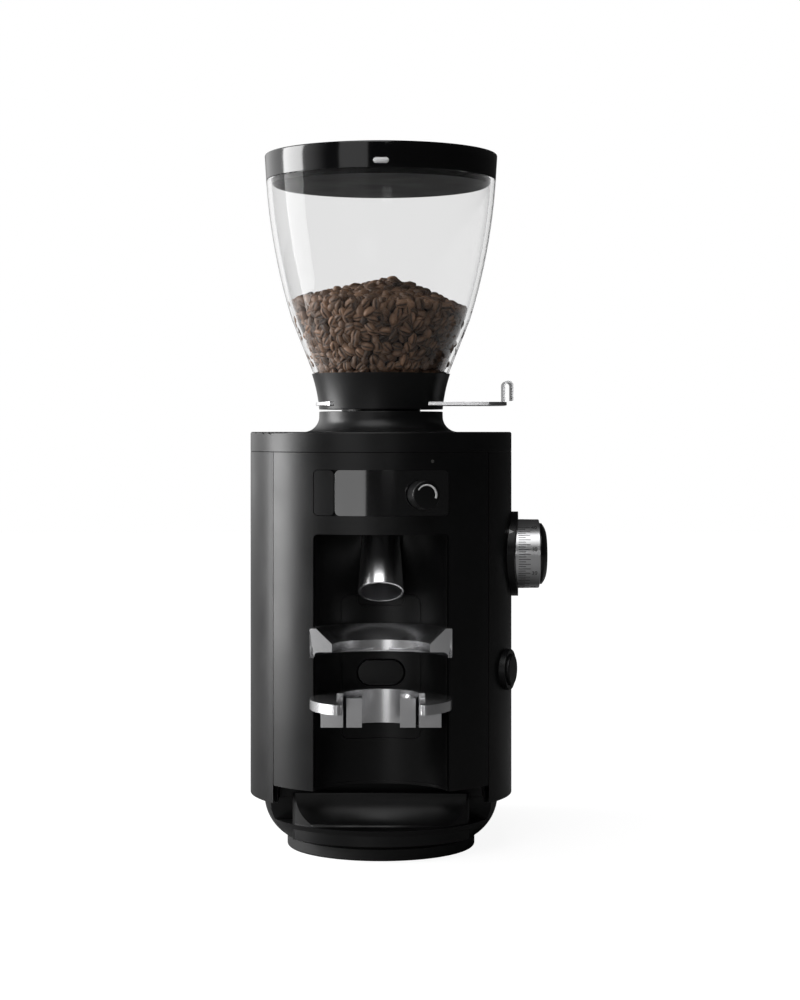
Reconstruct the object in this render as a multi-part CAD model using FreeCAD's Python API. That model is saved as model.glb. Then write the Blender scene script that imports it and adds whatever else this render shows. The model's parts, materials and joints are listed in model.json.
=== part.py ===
"""Home burr coffee grinder: round-backed body, clear hopper, portafilter niche, side grind dial.

Millimetres. The origin is on the underside of the foot, on the bean and burr axis.
+Z is up, -Y is the front with the niche, +X is the side with the grind dial.
"""
import FreeCAD, Part
import math
import os
from FreeCAD import Vector

# Fits
TOUCH = 0.05
SLIP = 0.3
RUN = 0.05

# Body: a stadium plan, front half round on the bean axis, rear half round behind it
BODY_R = 79.5
BODY_STRETCH = 57.5
WALL = 2.5
FLOOR_Z = 32.5
SEAM_Z = 239.0
CAP_HEIGHT = 12.0
CAP_EDGE = 1.2
CAP_LIP = 4.0
CAP_EXTRA = 1.0
PANEL_INSET = 16.3
PANEL_BOTTOM_Z = 43.0
SEAM_GAP = 0.3
RIB_DEPTH = 1.5
RIB_THICK = 2.0

# Neck on the cap, which takes the hopper spigot
NECK_FOOT_R = 46.5
NECK_R = 37.7
NECK_FLARE = 9.7
NECK_HEIGHT = 12.3
SEAL_HEIGHT = 3.0
SEAL_THICK = 2.0

# Hopper, collar, shutter and lid
COLLAR_GAP = 1.4
COLLAR_HEIGHT = 21.6
COLLAR_MID_R = 39.3
COLLAR_TOP_R = 42.2
SPIGOT_R = 24.0
SPIGOT_WALL = 3.0
SPIGOT_LEDGE = 3.0
THROAT_R = 16.0
THROAT_ABOVE = 1.5
THROAT_BELOW = 1.0
SHUTTER_RISE = 2.3
SHUTTER_THICK = 2.0
SHUTTER_WIDTH = 50.0
SHUTTER_TAIL = 39.7
SHUTTER_REACH = 76.0
SHUTTER_TAB_WIDTH = 26.0
SHUTTER_TAB_HEIGHT = 15.0
SHUTTER_TAB_R = 3.0
GLASS_WALL = 3.0
GLASS_FOOT = 10.3
GLASS_FOOT_R = 37.1
GLASS_KNEE = 32.7
GLASS_KNEE_R = 54.2
GLASS_BELLY = 66.7
GLASS_BELLY_R = 63.0
GLASS_HEIGHT = 117.4
GLASS_TOP_R = 70.0
LID_OVERHANG = 0.9
LID_HEIGHT = 15.5
LID_TAPER = 0.9
LID_WALL = 2.5
LID_EDGE = 1.0
PLUG_DROP = 3.0
PLUG_WALL = 2.5

# Niche and the holder in it
NICHE_BACK_Y = -42.0
NICHE_R = 42.0
NICHE_TOP_Z = 191.8
NICHE_CORNER = 3.0
LINER_WALL = 2.2
HOLDER_HALF = 23.2
HOLDER_LOW_Z = 70.4
HOLDER_HIGH_Z = 154.8
HOLDER_CORNER = 5.0
HOLDER_THICK = 2.0
HOLDER_BACKING = 3.8
RING_GAP = 1.3
RING_RIM = 3.6
RING_BORE_R = 28.0
RING_STEP = 5.0
RING_LOW_Z = 121.8
RING_HIGH_Z = 138.5
RING_SILL_Z = 129.5
RING_UNDER_Z = 125.0
RING_FILLET = 2.7
RING_TAB_HALF = 4.7
RING_TAB_DEPTH = 4.0
RING_TAB_Z = 123.3
REST_LOW_Z = 93.1
REST_HIGH_Z = 98.7
REST_SLOT_R = 21.7
REST_TIP_R = 2.8
REST_COLLAR = 2.8
REST_COLLAR_R = 25.2
REST_BODY_INSET = 6.2
REST_BODY_LOW_Z = 82.0
REST_RIB_IN = 10.9
REST_RIB_OUT = 19.8
LUG_HALF = 20.0
HOLDER_SCREW_R = 1.5
HOLDER_SCREW_X = 12.0

# Start button in the niche
START_Z = 109.0
START_LENGTH = 27.8
START_HEIGHT = 14.9
START_PROUD = 1.5
START_FLANGE = 1.6
START_TRAVEL = 2.5
START_ROOM_X = 4.1
START_ROOM_Z = 4.5

# Spout
SPOUT_TILT = 30.0
SPOUT_MOUTH_Y = -60.0
SPOUT_MOUTH_Z = 157.6
SPOUT_MOUTH_R = 13.5
SPOUT_R = 11.25
SPOUT_TAPER = 34.0
SPOUT_WALL = 1.5

# Control window
WINDOW_HALF = 39.3
WINDOW_LOW_Z = 202.4
WINDOW_HIGH_Z = 229.1
WINDOW_CORNER = 3.0
GLASS_SUNK = 0.2
KEY_WIDTH = 12.4
KEY_TRAVEL = 1.2
SWITCH_CORNER = 1.0
FRAME_RIM = 3.2
FRAME_THICK = 4.2
BOARD_SETBACK = 12.5
BOARD_THICK = 1.6
KNOB_ANGLE = 16.5
KNOB_Z = 215.0
KNOB_R = 8.25
KNOB_LENGTH = 11.0
KNOB_EDGE = 1.0
KNOB_GAP = 1.4
KNOB_TRAVEL = 1.0
SELECTOR_R = 3.0
ENCODER_R = 6.0
LIGHT_X = 29.7
LIGHT_Z = 234.0
LIGHT_R = 0.9

# Grind dial and its cam
DIAL_Z = 176.7
PAD_R = 25.7
PAD_RISE = 4.1
DIAL_R = 20.9
DIAL_GAP = 0.9
DIAL_LENGTH = 15.8
DIAL_CAP_R = 18.6
DIAL_CAP_LENGTH = 4.6
DIAL_SHAFT_R = 4.0
BUSH_WALL = 3.0
BUSH_LENGTH = 17.0
CAM_X = 47.0
CAM_WIDTH = 6.0
CAM_R = 8.0
CAM_LIFT = 1.5
CAM_TURN = 330.0
TIP_R = 1.8

# Power button on the right side
POWER_ANGLE = 70.0
POWER_Z = 109.0
POWER_R = 9.1
POWER_BEZEL_R = 12.2
POWER_BEZEL_RISE = 3.0
POWER_RISE = 4.6
POWER_EDGE = 0.8
POWER_TRAVEL = 2.0

# Base, foot and tray
FOOT_INSET = 22.5
FOOT_HEIGHT = 7.0
FOOT_CHAMFER = 0.8
BOWL_MID_INSET = 13.5
BOWL_MID_Z = 15.0
BOWL_TOP_INSET = 8.5
BOWL_WALL = 3.0
PAN_FLOOR = 3.0
BAY_REAR = 24.0
BAY_WALL = 2.2
TRAY_RIM_Z = 19.5
TRAY_RIM = 2.0
TRAY_DISH = 2.0
TRAY_LIP_Z = 38.0
TRAY_REAR_GAP = 0.4

# Motor, bracket and burrs
MOTOR_R = 28.0
MOTOR_WALL = 1.5
MOTOR_LOW_Z = 62.0
BELL_LOW = 12.0
BELL_HIGH = 14.0
BELL_RIM = 4.0
BELL_NECK_R = 22.0
BRACKET_Z = 198.0
BRACKET_THICK = 5.0
BRACKET_HALF = 60.0
BRACKET_FRONT = -26.0
BRACKET_REAR = 84.0
POST_X = 50.0
POST_FRONT_Y = -16.0
POST_REAR_Y = 74.0
POST_R = 5.0
SHAFT_R = 6.0
BEARING_R = 11.0
BEARING_WIDTH = 7.0
STATOR_BORE_R = 18.5
STATOR_INSET = 14.0
STATOR_LENGTH = 72.0
ROTOR_GAP = 0.6
CHAMBER_R = 37.0
CHAMBER_WALL = 3.5
CHAMBER_FLOOR = 5.0
CHAMBER_HEIGHT = 35.0
CARRIER_R = 29.0
CARRIER_THICK = 5.0
CARRIER_GAP = 1.0
PADDLE_COUNT = 3
PADDLE_R = 32.8
BURR_R = 27.0
BURR_BORE_R = 13.0
BURR_THICK = 5.0
BURR_GAP = 0.4
BURR_GROOVES = 16
GROOVE_SKEW = 18.0
GROOVE_DEPTH = 1.2
GROOVE_WIDTH = 1.6
UPPER_CARRIER_THICK = 7.0
ARM_HALF = 4.5
ARM_THICK = 5.0
ARM_RISE = 1.5
TAPPET_R = 3.5
NUT_SIDES = 6
NUT_R = 9.0
NUT_HEIGHT = 5.0

# Electrics at the back
MAINS_Z = 60.0
MAINS_HALF = 14.0
MAINS_HEIGHT = 22.0
MAINS_DEPTH = 24.0
SOCKET_DEPTH = 14.0
SOCKET_RIM = 2.5
PIN_HALF = 2.0
PIN_SUNK = 6.0
VENT_COUNT = 9
VENT_PITCH = 7.0
VENT_WIDTH = 3.2
VENT_LOW_Z = 96.0
VENT_HEIGHT = 44.0
POWER_BOARD_SETBACK = 39.0
POWER_BOARD_HALF = 42.0
POWER_BOARD_LOW_Z = 60.0
POWER_BOARD_HIGH_Z = 170.0
STANDOFF = 4.4
STANDOFF_R = 3.0
COIL_WIDTH = 32.0
COIL_HEIGHT = 30.0
COIL_DEPTH = 24.0
COIL_RISE = 10.0
CAN_COUNT = 3
CAN_R = 8.0
CAN_DEPTH = 20.0
CAN_PITCH = 22.0
CAN_X = 20.0
SCREW_R = 2.0
SCREW_HEAD_R = 3.6
SCREW_HEAD = 1.5
SCREW_LENGTH = 8.0

# Values that follow from the driving ones
X = Vector(1, 0, 0)
Y = Vector(0, 1, 0)
Z = Vector(0, 0, 1)
BIG = 500.0
FULL_TURN = 360.0
INNER_R = BODY_R - WALL
FRAME_R = INNER_R - SLIP - FRAME_THICK
BOARD_Y = BOARD_SETBACK - FRAME_R
FOOT_R = BODY_R - FOOT_INSET
BOWL_MID_R = BODY_R - BOWL_MID_INSET
BOWL_TOP_R = BODY_R - BOWL_TOP_INSET
DIAL_START = BODY_R + DIAL_GAP
CAP_TOP_Z = SEAM_Z + CAP_HEIGHT
NECK_TOP_Z = CAP_TOP_Z + NECK_HEIGHT
COLLAR_Z = NECK_TOP_Z + COLLAR_GAP
HOPPER_Z = COLLAR_Z + COLLAR_HEIGHT
SPIGOT_Z = SEAM_Z + SPIGOT_LEDGE
SHUTTER_Z = COLLAR_Z + SHUTTER_RISE
LID_Z = HOPPER_Z + GLASS_HEIGHT + SLIP
PANEL_HALF = BODY_R - PANEL_INSET
LID_R = GLASS_TOP_R + LID_OVERHANG
PLUG_R = GLASS_TOP_R - GLASS_WALL - 2 * SLIP
NICHE_Y = NICHE_BACK_Y - NICHE_R
BACKING_R = NICHE_R + LINER_WALL / 2 + HOLDER_BACKING
RING_R = NICHE_R - RING_GAP
RING_RIM_R = RING_R - RING_RIM
RING_STEP_R = RING_R - RING_STEP
REST_BODY_R = RING_R - REST_BODY_INSET
SPOUT_AXIS = Vector(0, math.sin(math.radians(SPOUT_TILT)), math.cos(math.radians(SPOUT_TILT)))
SPOUT_MOUTH = Vector(0, SPOUT_MOUTH_Y, SPOUT_MOUTH_Z)
KNOB_AXIS = Vector(math.sin(math.radians(KNOB_ANGLE)), -math.cos(math.radians(KNOB_ANGLE)), 0)
POWER_AXIS = Vector(math.sin(math.radians(POWER_ANGLE)), -math.cos(math.radians(POWER_ANGLE)), 0)
KEY_X = -WINDOW_HALF + KEY_WIDTH / 2
STEM_DEPTH = KNOB_LENGTH * 0.6
FLOOR_TOP_Z = FLOOR_Z + WALL
CHAMBER_Z = BRACKET_Z + BRACKET_THICK
CHAMBER_BORE_R = CHAMBER_R - CHAMBER_WALL
CARRIER_Z = CHAMBER_Z + CHAMBER_FLOOR + CARRIER_GAP
LOWER_BURR_Z = CARRIER_Z + CARRIER_THICK
UPPER_BURR_Z = LOWER_BURR_Z + BURR_THICK + BURR_GAP
UPPER_CARRIER_Z = UPPER_BURR_Z + BURR_THICK
ARM_Z = UPPER_CARRIER_Z + ARM_RISE
TAPPET_X = CAM_X + CAM_WIDTH / 2
CAN_LOW_Z = MOTOR_LOW_Z + BELL_LOW
CAN_HIGH_Z = BRACKET_Z - BELL_HIGH
STATOR_Z = CAN_LOW_Z + STATOR_INSET
LOW_BEARING_Z = MOTOR_LOW_Z + BELL_LOW - BEARING_WIDTH
HIGH_BEARING_Z = BRACKET_Z - BEARING_WIDTH
PAN_TOP_Z = FOOT_HEIGHT + PAN_FLOOR
REAR_Y = BODY_STRETCH + BODY_R
POWER_BOARD_Y = REAR_Y - POWER_BOARD_SETBACK
VENT_CORNER = VENT_WIDTH * 0.45


def box(x0, x1, y0, y1, z0, z1):
    return Part.makeBox(x1 - x0, y1 - y0, z1 - z0, Vector(x0, y0, z0))


def post(radius, z0, z1, x=0.0, y=0.0):
    return Part.makeCylinder(radius, z1 - z0, Vector(x, y, z0))


def spoke(radius, start, end, axis, z):
    """Round bar on a level axis through the bean axis, from one distance out to another."""
    return Part.makeCylinder(radius, end - start, axis * start + Z * z, axis)


def along_x(radius, x0, x1, z, y=0.0):
    return Part.makeCylinder(radius, x1 - x0, Vector(x0, y, z), X)


def along_y(radius, y0, y1, x, z):
    return Part.makeCylinder(radius, y1 - y0, Vector(x, y0, z), Y)


def section(*steps):
    """Closed face in the XZ plane; a step is a point (r, z), or a pair (through, end) for an arc."""
    first = Vector(steps[0][0], 0, steps[0][1])
    here = first
    edges = []
    for step in steps[1:]:
        if isinstance(step[0], tuple):
            through = Vector(step[0][0], 0, step[0][1])
            end = Vector(step[1][0], 0, step[1][1])
            edges.append(Part.Arc(here, through, end).toShape())
        else:
            end = Vector(step[0], 0, step[1])
            edges.append(Part.makeLine(here, end))
        here = end
    edges.append(Part.makeLine(here, first))
    return Part.Face(Part.Wire(edges))


def turned(*steps, y=0.0):
    """Solid of revolution about an upright axis at (0, y)."""
    centre = Vector(0, y, 0)
    return section(*steps).translated(centre).revolve(centre, Z, FULL_TURN)


def pill(*steps):
    """Sweep a section round the body's stadium plan."""
    face = section(*steps)
    rear = Y * BODY_STRETCH
    front_half = face.rotated(Vector(), Z, 180).revolve(Vector(), Z, 180)
    right = face.extrude(rear)
    left = face.rotated(Vector(), Z, 180).extrude(rear)
    rear_half = face.translated(rear).revolve(rear, Z, 180)
    return front_half.multiFuse([right, left, rear_half]).removeSplitter()


def pill_block(radius, z0, z1):
    return pill((0, z0), (radius, z0), (radius, z1), (0, z1))


def pill_wall(outer, inner, z0, z1):
    return pill((inner, z0), (outer, z0), (outer, z1), (inner, z1))


def front_wall(outer, inner, z0, z1):
    """Front half of an upright tube about the bean axis."""
    tube = post(outer, z0, z1).cut(post(inner, z0, z1))
    return tube.common(box(-BIG, BIG, -BIG, 0, z0, z1))


def window(x0, x1, z0, z1, corner, y0=-BIG, y1=0.0):
    """Block seen as a rounded rectangle from the front."""
    block = box(x0, x1, y0, y1, z0, z1)
    level = [edge for edge in block.Edges if abs(edge.tangentAt(edge.FirstParameter).y) > 0.9]
    return block.makeFillet(corner, level)


def obround(length, height, z, y0, y1):
    half = (length - height) / 2
    ends = [along_y(height / 2, y0, y1, side * half, z) for side in (-1, 1)]
    return box(-half, half, y0, y1, z - height / 2, z + height / 2).multiFuse(ends).removeSplitter()


def niche_sector(outer, inner, z0, z1):
    """Rear half of an upright tube about the niche axis, kept inside the front panel."""
    tube = post(outer, z0, z1, y=NICHE_Y)
    if inner > 0:
        tube = tube.cut(post(inner, z0, z1, y=NICHE_Y))
    return tube.common(post(INNER_R - TOUCH, z0, z1))


def spout_rod(radius, start, end):
    return Part.makeCylinder(radius, end - start, SPOUT_MOUTH + SPOUT_AXIS * start, SPOUT_AXIS)


def spout_form(grow, length):
    """Solid outside form of the spout, grown by a clearance."""
    form = turned((0, 0), (SPOUT_MOUTH_R + grow, 0), (SPOUT_R + grow, SPOUT_TAPER),
                  (SPOUT_R + grow, length), (0, length))
    form.rotate(Vector(), X, -SPOUT_TILT)
    form.translate(SPOUT_MOUTH)
    return form


def screw(x, y, z, up):
    """Pan-head screw whose head bears on the level z; up is the way its shank points."""
    way = Z if up else Z * -1
    seat = Vector(x, y, z)
    head = Part.makeCylinder(SCREW_HEAD_R, SCREW_HEAD, seat - way * SCREW_HEAD, way)
    return head.fuse(Part.makeCylinder(SCREW_R, SCREW_LENGTH, seat, way)).removeSplitter()


def group(shapes):
    return Part.makeCompound(shapes)


def mirrored_pair(shape):
    return [shape, shape.mirror(Vector(), X)]


# Body

def side_shell():
    shell = pill((0, FLOOR_Z), (BODY_R, FLOOR_Z), (BODY_R, SEAM_Z), (INNER_R, SEAM_Z),
                 (INNER_R, FLOOR_TOP_Z), (0, FLOOR_TOP_Z))
    half = PANEL_HALF + SEAM_GAP
    shell = shell.cut(box(-half, half, -BIG, -BAY_REAR, 0, BIG))
    shell = shell.cut(along_x(DIAL_SHAFT_R + BUSH_WALL + TOUCH, 0, BIG, DIAL_Z))
    shell = shell.cut(spoke(POWER_BEZEL_R + TOUCH, INNER_R - WALL, BIG, POWER_AXIS, POWER_Z))
    shell = shell.cut(mains_block(TOUCH, REAR_Y))
    vents = [vent(index) for index in range(VENT_COUNT)]
    shell = shell.cut(group(vents))
    screws = [post_screw(x, y) for x, y in post_places()] + [pan_screw(x, y) for x, y in pan_screw_places()]
    return shell.cut(group(screws))


def vent(index):
    x = (index - (VENT_COUNT - 1) / 2) * VENT_PITCH
    top = VENT_LOW_Z + VENT_HEIGHT
    left = x - VENT_WIDTH / 2
    return window(left, left + VENT_WIDTH, VENT_LOW_Z, top, VENT_CORNER, BODY_STRETCH, BIG)


def front_panel():
    """Front skin, stiffened inside by a level rib between the niche and the control window."""
    panel = front_wall(BODY_R, INNER_R, PANEL_BOTTOM_Z, SEAM_Z - TOUCH)
    rib_z = NICHE_TOP_Z + LINER_WALL + 2 * SLIP
    panel = panel.fuse(front_wall(INNER_R, INNER_R - RIB_DEPTH, rib_z, rib_z + RIB_THICK)).removeSplitter()
    panel = panel.common(box(-PANEL_HALF, PANEL_HALF, -BIG, -BAY_REAR, 0, BIG))
    panel = panel.cut(window(-WINDOW_HALF, WINDOW_HALF, WINDOW_LOW_Z, WINDOW_HIGH_Z, WINDOW_CORNER))
    panel = panel.cut(window(-niche_half(), niche_half(), 0, NICHE_TOP_Z, NICHE_CORNER))
    return panel.cut(along_y(LIGHT_R + TOUCH, -BIG, 0, LIGHT_X, LIGHT_Z))


def niche_half():
    """Half width of the niche where its round wall meets the outside of the front panel."""
    y = (NICHE_R ** 2 - BODY_R ** 2 - NICHE_Y ** 2) / (-2 * NICHE_Y)
    return math.sqrt(BODY_R ** 2 - y ** 2)


def top_cap():
    edge = BODY_R - CAP_EDGE
    round_mid = (edge + CAP_EDGE * math.sqrt(0.5), CAP_TOP_Z - CAP_EDGE + CAP_EDGE * math.sqrt(0.5))
    under = CAP_TOP_Z - WALL - CAP_EXTRA
    lip_out = INNER_R - TOUCH
    lip_in = lip_out - WALL
    cap = pill((lip_in, SEAM_Z - CAP_LIP), (lip_out, SEAM_Z - CAP_LIP), (lip_out, SEAM_Z), (BODY_R, SEAM_Z),
               (BODY_R, CAP_TOP_Z - CAP_EDGE), (round_mid, (edge, CAP_TOP_Z)), (0, CAP_TOP_Z), (0, under),
               (lip_in, under))
    lean = (NECK_FOOT_R - NECK_R) * 0.3
    neck = turned((0, SEAM_Z), (NECK_FOOT_R - WALL, SEAM_Z), (NECK_FOOT_R - WALL, CAP_TOP_Z),
                  (NECK_FOOT_R, CAP_TOP_Z),
                  ((NECK_R + lean, CAP_TOP_Z + NECK_FLARE * 0.3), (NECK_R, CAP_TOP_Z + NECK_FLARE)),
                  (NECK_R, NECK_TOP_Z), (0, NECK_TOP_Z))
    cap = cap.fuse(neck).removeSplitter()
    cap = cap.cut(post(SPIGOT_R + SLIP, SPIGOT_Z, BIG))
    cap = cap.cut(post(SPIGOT_R - SPIGOT_WALL, 0, BIG))
    seal_low = CAP_TOP_Z - SEAL_HEIGHT
    return cap.cut(post(SPIGOT_R + SLIP + SEAL_THICK, seal_low, CAP_TOP_Z))


def hopper_seal():
    low = CAP_TOP_Z - SEAL_HEIGHT + TOUCH
    outer = SPIGOT_R + SLIP + SEAL_THICK - TOUCH
    return post(outer, low, CAP_TOP_Z - TOUCH).cut(post(SPIGOT_R + SLIP, low, CAP_TOP_Z))


def bowl(inset, z0, z1):
    """The base's outer form drawn in by a wall, between two levels."""
    whole = pill((0, FOOT_HEIGHT), (FOOT_R - inset, FOOT_HEIGHT),
                 ((BOWL_MID_R - inset, BOWL_MID_Z), (BOWL_TOP_R - inset, FLOOR_Z)), (0, FLOOR_Z))
    return whole.common(box(-BIG, BIG, -BIG, BIG, z0, z1))


def base_pan():
    floor = bowl(0, FOOT_HEIGHT, PAN_TOP_Z)
    rear = bowl(0, PAN_TOP_Z, FLOOR_Z).common(box(-BIG, BIG, -BAY_REAR - BAY_WALL, BIG, 0, BIG))
    hollow = bowl(BOWL_WALL, PAN_TOP_Z, FLOOR_Z).common(box(-BIG, BIG, -BAY_REAR, BIG, 0, BIG))
    pan = floor.fuse(rear.cut(hollow)).removeSplitter()
    for x, y in pan_screw_places():
        boss = post(2 * SCREW_R, PAN_TOP_Z, FLOOR_Z, x, y)
        pan = pan.fuse(boss).removeSplitter()
    return pan.cut(group([pan_screw(x, y) for x, y in pan_screw_places()]))


def pan_screw_places():
    return [(x, y) for x in (-POST_X / 2, POST_X / 2) for y in (0.0, BODY_STRETCH)]


def pan_screw(x, y):
    """Long screw from under the foot side of the pan up into the shell floor."""
    head = post(SCREW_HEAD_R, FOOT_HEIGHT, FOOT_HEIGHT + SCREW_HEAD, x, y)
    return head.fuse(post(SCREW_R, FOOT_HEIGHT + SCREW_HEAD, FLOOR_TOP_Z - TOUCH, x, y)).removeSplitter()


def foot_pad():
    return pill((0, 0), (FOOT_R - FOOT_CHAMFER, 0), (FOOT_R, FOOT_CHAMFER), (FOOT_R, FOOT_HEIGHT),
                (0, FOOT_HEIGHT))


def tray_bay():
    """Hood over the tray: a roof with the niche hole, two cheeks and a rear wall."""
    half = PANEL_HALF - SEAM_GAP
    roof_z = PANEL_BOTTOM_Z + BAY_WALL
    hood = box(-half, half, -BIG, -BAY_REAR - TOUCH, FLOOR_Z, roof_z).common(post(INNER_R - TOUCH, 0, BIG))
    room = box(-half + BAY_WALL, half - BAY_WALL, -BIG, -BAY_REAR - BAY_WALL, 0, PANEL_BOTTOM_Z)
    return hood.cut(room).cut(post(NICHE_R, 0, BIG, y=NICHE_Y))


def grounds_tray():
    """Front of the base bowl: a rimmed dish whose floor sweeps up to a rear lip."""
    rear = -BAY_REAR - BAY_WALL - TRAY_REAR_GAP
    low = PAN_TOP_Z + SLIP
    ahead = box(-BIG, BIG, -BIG, rear, 0, BIG)
    dish_z = TRAY_RIM_Z - TRAY_DISH
    wall_y = tray_wall_y()
    riser = box(-BIG, BIG, -BOWL_TOP_R, wall_y + TRAY_RIM, low, TRAY_LIP_Z)
    riser = riser.common(post(BOWL_TOP_R - 2 * TRAY_RIM, 0, BIG))
    tray = bowl(0, low, TRAY_RIM_Z).common(ahead).fuse(riser).removeSplitter()
    scoop = tray_scoop(wall_y, dish_z)
    above = scoop.common(box(-BIG, BIG, -BIG, BIG, TRAY_RIM_Z, BIG))
    inside = scoop.common(bowl(TRAY_RIM, dish_z, TRAY_RIM_Z))
    underside = bowl(BOWL_WALL + TRAY_RIM, low, dish_z - BOWL_WALL).common(ahead.translated(Y * -BOWL_WALL))
    return tray.cut(above).cut(inside).cut(underside)


def tray_wall_y():
    """Front face of the tray's rear lip, just inside the back wall of the niche."""
    return NICHE_Y + NICHE_R - TRAY_RIM


def tray_scoop(wall_y, dish_z):
    """Room over the tray: flat in front, then a quarter round up to the lip."""
    rise = TRAY_LIP_Z - dish_z
    bend = rise * math.sqrt(0.5)
    foot = wall_y - rise
    start = Vector(-BIG, foot, dish_z)
    through = Vector(-BIG, foot + bend, TRAY_LIP_Z - bend)
    end = Vector(-BIG, wall_y, TRAY_LIP_Z)
    corners = [end, Vector(-BIG, wall_y, BIG), Vector(-BIG, -BIG, BIG), Vector(-BIG, -BIG, dish_z), start]
    wire = Part.Wire([Part.Arc(start, through, end).toShape()] + Part.makePolygon(corners).Edges)
    return Part.Face(wire).extrude(X * 2 * BIG)


# Niche and holder

def niche_liner():
    low = PANEL_BOTTOM_Z + BAY_WALL
    liner = niche_sector(NICHE_R + LINER_WALL, NICHE_R, low, NICHE_TOP_Z)
    ceiling = niche_sector(NICHE_R + LINER_WALL, 0, NICHE_TOP_Z, NICHE_TOP_Z + LINER_WALL)
    backing = niche_sector(BACKING_R, NICHE_R, HOLDER_LOW_Z - HOLDER_CORNER, HOLDER_HIGH_Z + HOLDER_CORNER)
    reach = HOLDER_HALF + HOLDER_CORNER
    backing = backing.common(box(-reach, reach, NICHE_Y, 0, 0, BIG))
    liner = liner.multiFuse([ceiling, backing]).removeSplitter()
    pocket = niche_sector(NICHE_R + HOLDER_THICK + TOUCH, 0, 0, BIG).common(holder_outline(SLIP))
    liner = liner.cut(pocket)
    liner = liner.cut(start_room())
    return liner.cut(spout_form(SLIP, BIG))


def start_room():
    """Window in the liner, hidden by the holder plate, that the start button reaches through."""
    half = START_LENGTH / 2 + START_ROOM_X
    rise = START_HEIGHT / 2 + START_ROOM_Z
    return window(-half, half, START_Z - rise, START_Z + rise, NICHE_CORNER, NICHE_Y, 0)


def holder_outline(grow):
    return window(-HOLDER_HALF - grow, HOLDER_HALF + grow, HOLDER_LOW_Z - grow, HOLDER_HIGH_Z + grow,
                  HOLDER_CORNER + grow, NICHE_Y, 0)


def holder_plate():
    plate = niche_sector(NICHE_R + HOLDER_THICK, NICHE_R, 0, BIG).common(holder_outline(0))
    plate = plate.cut(obround(START_LENGTH + 4 * SLIP, START_HEIGHT + 4 * SLIP, START_Z, NICHE_Y, 0))
    plate = plate.cut(spout_notch())
    return plate.cut(group(holder_screw_rods()))


def spout_notch():
    """Way past the spout's mouth, so that the holder pulls straight out under it."""
    half = SPOUT_MOUTH_R + SLIP
    low = SPOUT_MOUTH_Z - SPOUT_MOUTH_R * math.sin(math.radians(SPOUT_TILT)) - WALL
    return window(-half, half, low, HOLDER_HIGH_Z + 2 * HOLDER_CORNER, NICHE_CORNER, NICHE_Y, 0)


def holder_screw_rods():
    heights = [(RING_LOW_Z + RING_HIGH_Z) / 2, (REST_BODY_LOW_Z + REST_HIGH_Z) / 2]
    back = NICHE_Y + NICHE_R + HOLDER_THICK
    rods = []
    for z in heights:
        for x in (-HOLDER_SCREW_X, HOLDER_SCREW_X):
            rods.append(along_y(HOLDER_SCREW_R, back - 3 * HOLDER_THICK, back, x, z))
    return rods


def holder_screws():
    inside = post(NICHE_R + HOLDER_THICK - TOUCH, 0, BIG, y=NICHE_Y)
    return group([rod.common(inside) for rod in holder_screw_rods()])


def lug(z0, z1, inner):
    """Root that carries a ring on the plate."""
    sector = niche_sector(NICHE_R, inner, z0, z1)
    return sector.common(box(-LUG_HALF, LUG_HALF, NICHE_Y, 0, z0, z1))


def holder_ring():
    lip = RING_STEP_R + RING_FILLET
    bend = RING_FILLET * (1 - math.sqrt(0.5))
    ring = turned((RING_BORE_R, RING_UNDER_Z), (RING_STEP_R, RING_UNDER_Z),
                  ((lip - bend, RING_UNDER_Z - bend), (lip, RING_UNDER_Z - RING_FILLET)),
                  (lip, RING_LOW_Z), (RING_R, RING_LOW_Z), (RING_R, RING_HIGH_Z), (RING_RIM_R, RING_HIGH_Z),
                  (RING_BORE_R, RING_SILL_Z), y=NICHE_Y)
    ring = ring.common(box(-BIG, BIG, NICHE_Y, BIG, 0, BIG))
    tab = niche_sector(RING_STEP_R, RING_STEP_R - RING_TAB_DEPTH, RING_TAB_Z, RING_UNDER_Z)
    tab = tab.common(box(-RING_TAB_HALF, RING_TAB_HALF, NICHE_Y, 0, 0, BIG))
    ring = ring.multiFuse([lug(RING_LOW_Z, RING_HIGH_Z, RING_R - TOUCH), tab]).removeSplitter()
    return ring.cut(group(holder_screw_rods()))


def holder_rest():
    """Round plate with a U slot for the portafilter neck, on a drum with two flat prongs."""
    rest = post(RING_R, REST_LOW_Z, REST_HIGH_Z, y=NICHE_Y).cut(rest_slot())
    tips = [edge for edge in rest.Edges
            if edge.BoundBox.YMax < NICHE_Y - REST_SLOT_R and edge.BoundBox.ZLength > SLIP]
    rest = rest.makeFillet(REST_TIP_R, tips)
    behind = box(-BIG, BIG, NICHE_Y, BIG, 0, BIG)
    drum = post(REST_BODY_R, REST_BODY_LOW_Z, REST_LOW_Z, y=NICHE_Y)
    collar = post(REST_COLLAR_R, REST_LOW_Z, REST_HIGH_Z + REST_COLLAR, y=NICHE_Y)
    root = lug(REST_BODY_LOW_Z, REST_HIGH_Z, REST_BODY_R - TOUCH)
    raised = drum.fuse(collar).common(behind).cut(rest_slot())
    rest = rest.multiFuse([raised, root] + mirrored_pair(rest_rib())).removeSplitter()
    return rest.cut(group(holder_screw_rods()))


def rest_slot():
    bore = post(REST_SLOT_R, 0, BIG, y=NICHE_Y)
    return bore.fuse(box(-REST_SLOT_R, REST_SLOT_R, -BIG, NICHE_Y, 0, BIG)).removeSplitter()


def rest_rib():
    """Flat-faced prong inside the slot, under the portafilter spouts."""
    rib = box(REST_RIB_IN, REST_RIB_OUT, NICHE_Y, NICHE_Y + RING_R, REST_BODY_LOW_Z, REST_HIGH_Z)
    return rib.common(post(REST_SLOT_R, 0, BIG, y=NICHE_Y))


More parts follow.
